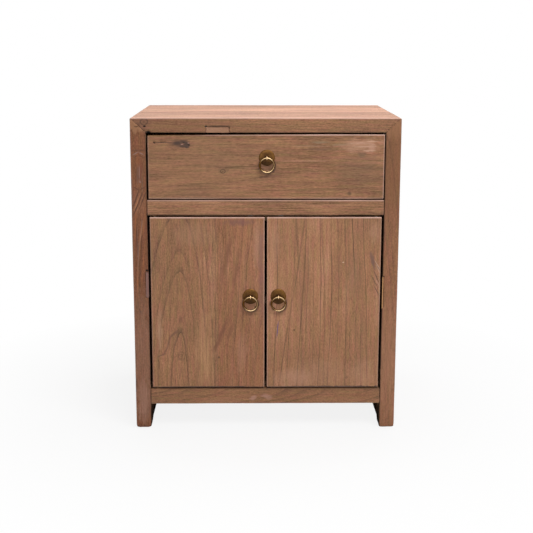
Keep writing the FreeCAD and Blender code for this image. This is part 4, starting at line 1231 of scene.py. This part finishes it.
class NIGHTSTAND_OT_inner_case(bpy.types.Operator):
    """Finish what the doors and the drawer hide, and nail the back boards"""

    bl_idname = "nightstand.inner_case"
    bl_label = "Inner case"

    def execute(self, context):
        for node in (
            "mitre_spline_left", "mitre_spline_right", "rear_bottom_rail", "rear_middle_rail", "cabinet_floor",
            *BACK_BOARDS, "drawer_runner_left", "drawer_runner_right", "drawer_stop_left", "drawer_stop_right",
            "door_head_stop", "shelf", "shelf_cleat_left", "shelf_cleat_right",
        ):
            low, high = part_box(node)
            gaps = [(x, 0.33, 0.0016, 0.6, 1.2, (0.05, 0.03, 0.02)) for x in (low.x, high.x)]
            finish_node(node, plain_elm(node, stains=gaps if node in BACK_BOARDS else ()))
        plain = steel("steel_plain", SCREW_STEEL)
        for node in ("runner_screws", "cleat_screws"):
            finish_node(node, plain)
        finish_node("catch_magnets", steel("magnet_nickel", (0.55, 0.55, 0.56)))
        bush = brass("brass_bush", "plate", "tarnish", 0.45, 0.6, 0.6)
        for side in ("left", "right"):
            for level in ("lower", "upper"):
                finish_node(f"{side}_pivot_bush_{level}", bush)
        self.nails()
        return {"FINISHED"}

    def nails(self):
        """Cut nails through the back boards into the rails and the top."""
        shape = bmesh.new()
        draw = random.Random(41)
        rows = [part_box(node) for node in ("rear_bottom_rail", "rear_middle_rail")]
        heights = [(low.z + high.z) / 2 for low, high in rows] + [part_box(BACK_BOARDS[0])[1].z - 4 * MM]
        for index, board in enumerate(BACK_BOARDS, 1):
            low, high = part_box(board)
            for height in heights:
                for share in (0.2, 0.8):
                    x = low.x + (high.x - low.x) * share + draw.uniform(-4, 4) * MM
                    z = height + draw.uniform(-3, 3) * MM
                    size = draw.uniform(2.0, 2.6) * MM
                    made = bmesh.ops.create_uvsphere(shape, u_segments=12, v_segments=6, radius=1.0)
                    for point in made["verts"]:
                        flat = 1 + 0.12 * noise.noise(point.co * 2 + Vector((index, height * 40, share)))
                        point.co = Vector((
                            x + point.co.x * size * flat, high.y + point.co.y * 0.6 * MM, z + point.co.z * size * flat,
                        ))
        heads = smoothed(mesh_of("back_nails", shape))
        piece = new_piece("back_nails", heads, steel("steel_nails", (0.20, 0.17, 0.15)))
        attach(piece, "case")


class NIGHTSTAND_OT_drawer(bpy.types.Operator):
    """Dress the drawer's front and finish its dovetailed box"""

    bl_idname = "nightstand.drawer"
    bl_label = "Drawer"

    def execute(self, context):
        low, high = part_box("drawer_front")
        wood = elm("elm_drawer_front", X, Z, Y, FRONT, box=(low.z, high.z, low.x, high.x), **DRAWER_FRONT)
        piece = worn_board(
            "drawer_front", "drawer", "elm_front", wood, 9, flaws=DRAWER_FLAWS, droop=(2.6 * MM, 0.3 * MM),
        )
        split(piece, plain_elm("drawer_front"), faces_back)
        for node in ("drawer_side_left", "drawer_side_right", "drawer_back", "drawer_bottom"):
            finish_node(node, plain_elm(node))
        finish_node("drawer_bottom_screws", steel("steel_bottom_screws", SCREW_STEEL))
        return {"FINISHED"}


class NIGHTSTAND_OT_doors(bpy.types.Operator):
    """Dress the two slab doors and finish their battens, pivots and strikes"""

    bl_idname = "nightstand.doors"
    bl_label = "Doors"

    def execute(self, context):
        steel_pins = steel("steel_pivots", (0.36, 0.35, 0.34))
        for side, door, seed in (("left", LEFT_DOOR, 10), ("right", RIGHT_DOOR, 11)):
            body = side + "_door"
            panel = body + "_panel"
            low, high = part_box(panel)
            wood = elm("elm_" + body, Z, X, Y, FRONT, box=(low.x, high.x, low.z, high.z), **door)
            piece = worn_board(panel, body, "elm_front", wood, seed, flaws=DOOR_FLAWS[side], arris=2.0 * MM)
            split(piece, plain_elm(panel, base="face", seed=seed), faces_back)
            for level in ("lower", "upper"):
                node = f"{body}_batten_{level}"
                finish_node(node, plain_elm(node, seed=seed))
            finish_node(body + "_pivots", steel_pins)
            finish_node(body + "_strike", steel_pins)
        return {"FINISHED"}


class NIGHTSTAND_OT_pulls(bpy.types.Operator):
    """Finish the three ring pulls: dark plates, bright rings and split pins"""

    bl_idname = "nightstand.pulls"
    bl_label = "Ring pulls"

    def execute(self, context):
        pin = brass("brass_pin", "ring", "tarnish", 0.20, 0.40, -0.2)
        for name, body in (("drawer_pull", "drawer"), ("left_pull", "left_door"), ("right_pull", "right_door")):
            low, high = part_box(name + "_plate")
            centre, radius = (low + high) / 2, (high.x - low.x) / 2
            plate = brass(
                f"brass_{name}_plate", "rim", "plate", 0.34, 0.52, 0.72, radial=(centre.x, centre.z, radius),
            )
            self.plate(name, body, centre, radius, low.y, high.y, plate)
            low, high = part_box(name + "_ring")
            centre, wire = (low + high) / 2, (high.y - low.y) / 2
            ring = brass(
                f"brass_{name}_ring", "ring", "tarnish", 0.18, 0.36, 0.05,
                hoop=(centre.x, centre.z, (high.x - low.x) / 2 - wire, wire),
            )
            finish_node(name + "_ring", ring)
            finish_node(name + "_pin", pin)
        return {"FINISHED"}

    def plate(self, name, body, centre, radius, front, back, material):
        """A disc beaten out by hand: its face falls away to a worn rim that isn't quite round."""
        hole = 2.6 * MM
        # How far out each loop of points lies, and to what share of the thickness it rises. The rim starts at loop 7.
        rings = [
            (hole, 0.0), (hole, 0.93), (4.2 * MM, 1.0), (7 * MM, 1.0), (10 * MM, 0.97), (13 * MM, 0.90),
            (14.8 * MM, 0.80), (15.8 * MM, 0.66), (radius - 0.25 * MM, 0.42), (radius, 0.2), (radius, 0.0),
        ]
        rim = 7
        count = 72
        shape = bmesh.new()
        loops = []
        for index, (reach, rise) in enumerate(rings):
            loop = []
            for step in range(count):
                turn = 2 * math.pi * step / count
                uneven = noise.noise(Vector((math.cos(turn) * 2, math.sin(turn) * 2, centre.x * 30)))
                out = reach - (0.35 * MM * (0.5 + uneven) if index >= rim else 0)
                dent = 0.05 * MM * noise.noise(Vector((math.cos(turn), math.sin(turn), 0)) * reach * 350)
                y = back - (back - front) * rise + (dent + 0.06 * MM if 1 < index <= rim else 0)
                loop.append(shape.verts.new((centre.x + out * math.cos(turn), y, centre.z + out * math.sin(turn))))
            loops.append(loop)
        for one, two in zip(loops, loops[1:] + loops[:1]):
            for step in range(count):
                after = (step + 1) % count
                shape.faces.new((one[step], one[after], two[after], two[step]))
        bmesh.ops.recalc_face_normals(shape, faces=shape.faces)
        beaten = name + "_plate_beaten"
        piece = new_piece(beaten, smoothed(mesh_of(beaten, shape), 50), material)
        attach(piece, body)
        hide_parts(name + "_plate")


# Where each lamp stands, what it points at and how large it is
LAMPS = {
    "key": ((0.85, -1.6, 2.2), (0, 0, 0.40), (1.6, 1.2)),
    "fill": ((-0.5, -3.6, 1.2), (0, 0, 0.33), (2.4, 1.6)),
    "roof": ((0.1, 0.35, 2.3), (0.05, 0.1, 0.6), (1.4, 1.0)),
}
WHITE = (1, 1, 1, 1)
# The camera's place, and its tilt, swing and roll in radians
CAMERA_PLACE = (-0.030, FRONT - 2.1, 0.821)
TILT, SWING, ROLL = 0.196, -0.015, 0.002


class NIGHTSTAND_OT_stage(bpy.types.Operator):
    """Set up the floor, the lamps, the white surroundings and the camera"""

    bl_idname = "nightstand.stage"
    bl_label = "Studio"

    def execute(self, context):
        studio = settings("studio")
        self.floor()
        self.world(studio.world)
        for name, row in LAMPS.items():
            self.lamp(name + "_lamp", *row, getattr(studio, name))
        self.camera(studio.lens)
        return {"FINISHED"}

    def lamp(self, name, place, aim, size, power):
        """A soft rectangular lamp."""
        data = bpy.data.lights.new(name, "AREA")
        data.shape = "RECTANGLE"
        data.size, data.size_y = size
        data.energy = power
        lamp = bpy.data.objects.new(name, data)
        lamp.location = place
        lamp.rotation_euler = (Vector(aim) - Vector(place)).to_track_quat("-Z", "Y").to_euler()
        bpy.context.scene.collection.objects.link(lamp)

    def floor(self):
        """A pale floor that keeps a soft shadow near the piece and runs out into white."""
        finish = Finish("studio_floor")
        x, y, z = finish.place()
        away = (x ** 2 + y ** 2).root()
        grain = finish.cloud((x * 40, y * 40, z * 40), 2.0, 0.5)
        # This much of the floor's own shade stays up to near, and it's gone a fade further out
        near, fade, kept = 0.36, 0.5, 0.14
        share = ((away - near) / fade).held() * kept + (1 - kept)
        shown = finish.straight_rays() * share
        pale = finish.mix(grain, (0.80, 0.80, 0.80, 1), (0.83, 0.83, 0.83, 1))
        matt = finish.add("ShaderNodeBsdfDiffuse", {}, {"Color": pale})
        white = finish.add("ShaderNodeEmission", {}, {"Color": WHITE, "Strength": 1.0})
        both = finish.add("ShaderNodeMixShader", {}, {0: shown, 1: matt, 2: white})
        finish.add("ShaderNodeOutputMaterial", {}, {"Surface": both})
        shape = bmesh.new()
        bmesh.ops.create_circle(shape, cap_ends=True, segments=96, radius=6.0)
        floor = new_piece("studio_floor", mesh_of("studio_floor", shape), finish.material)
        # Just under the feet, so the two don't share a face
        floor.location.z = -0.2 * MM
        floor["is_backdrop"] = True

    def world(self, strength):
        """Even light on the piece, and white where the surroundings are seen."""
        finish = Finish("studio_world", bpy.data.worlds)
        even = finish.add("ShaderNodeBackground", {}, {"Color": (1, 0.985, 0.97, 1), "Strength": strength})
        seen = finish.add("ShaderNodeBackground", {}, {"Color": WHITE, "Strength": 1.0})
        both = finish.add("ShaderNodeMixShader", {}, {0: finish.straight_rays(), 1: even, 2: seen})
        finish.add("ShaderNodeOutputWorld", {}, {"Surface": both})
        bpy.context.scene.world = finish.material

    def camera(self, lens):
        """A camera where the photograph was taken from, with the small shift that its framing needs."""
        data = bpy.data.cameras.new("camera")
        data.lens = lens
        data.sensor_width = 36
        data.shift_y = -0.045
        data.clip_start = 0.05
        camera = bpy.data.objects.new("camera", data)
        turn = (
            Matrix.Rotation(SWING, 4, "Z") @ Matrix.Rotation(math.pi / 2 - TILT, 4, "X")
            @ Matrix.Rotation(ROLL, 4, "Z")
        )
        camera.matrix_world = Matrix.Translation(CAMERA_PLACE) @ turn
        bpy.context.scene.collection.objects.link(camera)
        bpy.context.scene.camera = camera
        bpy.context.scene.view_settings.view_transform = "Standard"


OPERATORS = (
    NIGHTSTAND_OT_sides, NIGHTSTAND_OT_top, NIGHTSTAND_OT_rails, NIGHTSTAND_OT_slips, NIGHTSTAND_OT_inner_case,
    NIGHTSTAND_OT_drawer, NIGHTSTAND_OT_doors, NIGHTSTAND_OT_pulls, NIGHTSTAND_OT_stage,
)


class NIGHTSTAND_PT_panel(bpy.types.Panel):
    """The nightstand's pieces, sizes and colours"""

    bl_label = "Nightstand"
    bl_idname = "NIGHTSTAND_PT_panel"
    bl_space_type = "VIEW_3D"
    bl_region_type = "UI"
    bl_category = "Nightstand"

    def draw(self, context):
        for operator in OPERATORS:
            self.layout.operator(operator.bl_idname)
        for group, kind in GROUPS.items():
            box = self.layout.box()
            for name in kind.__annotations__:
                box.prop(settings(group), name)


def register():
    """Makes the operators, the panel and the properties known to Blender."""
    for kind in (*GROUPS.values(), *OPERATORS, NIGHTSTAND_PT_panel):
        bpy.utils.register_class(kind)
    for group, kind in GROUPS.items():
        setattr(bpy.types.Scene, "nightstand_" + group, PointerProperty(type=kind))


def unregister():
    """Takes them away again."""
    for group in GROUPS:
        delattr(bpy.types.Scene, "nightstand_" + group)
    for kind in (NIGHTSTAND_PT_panel, *reversed(OPERATORS), *reversed(GROUPS.values())):
        bpy.utils.unregister_class(kind)


def main():
    """Makes every piece in order and gathers the boxes of the solids and of the dressed piece."""
    register()
    for operator in OPERATORS:
        family, name = operator.bl_idname.split(".")
        getattr(getattr(bpy.ops, family), name)()
    boxes = {"solids": [list(corner) for corner in SOLIDS_BOX], "dressed": [list(corner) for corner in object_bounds()]}


if __name__ == "__main__":
    main()
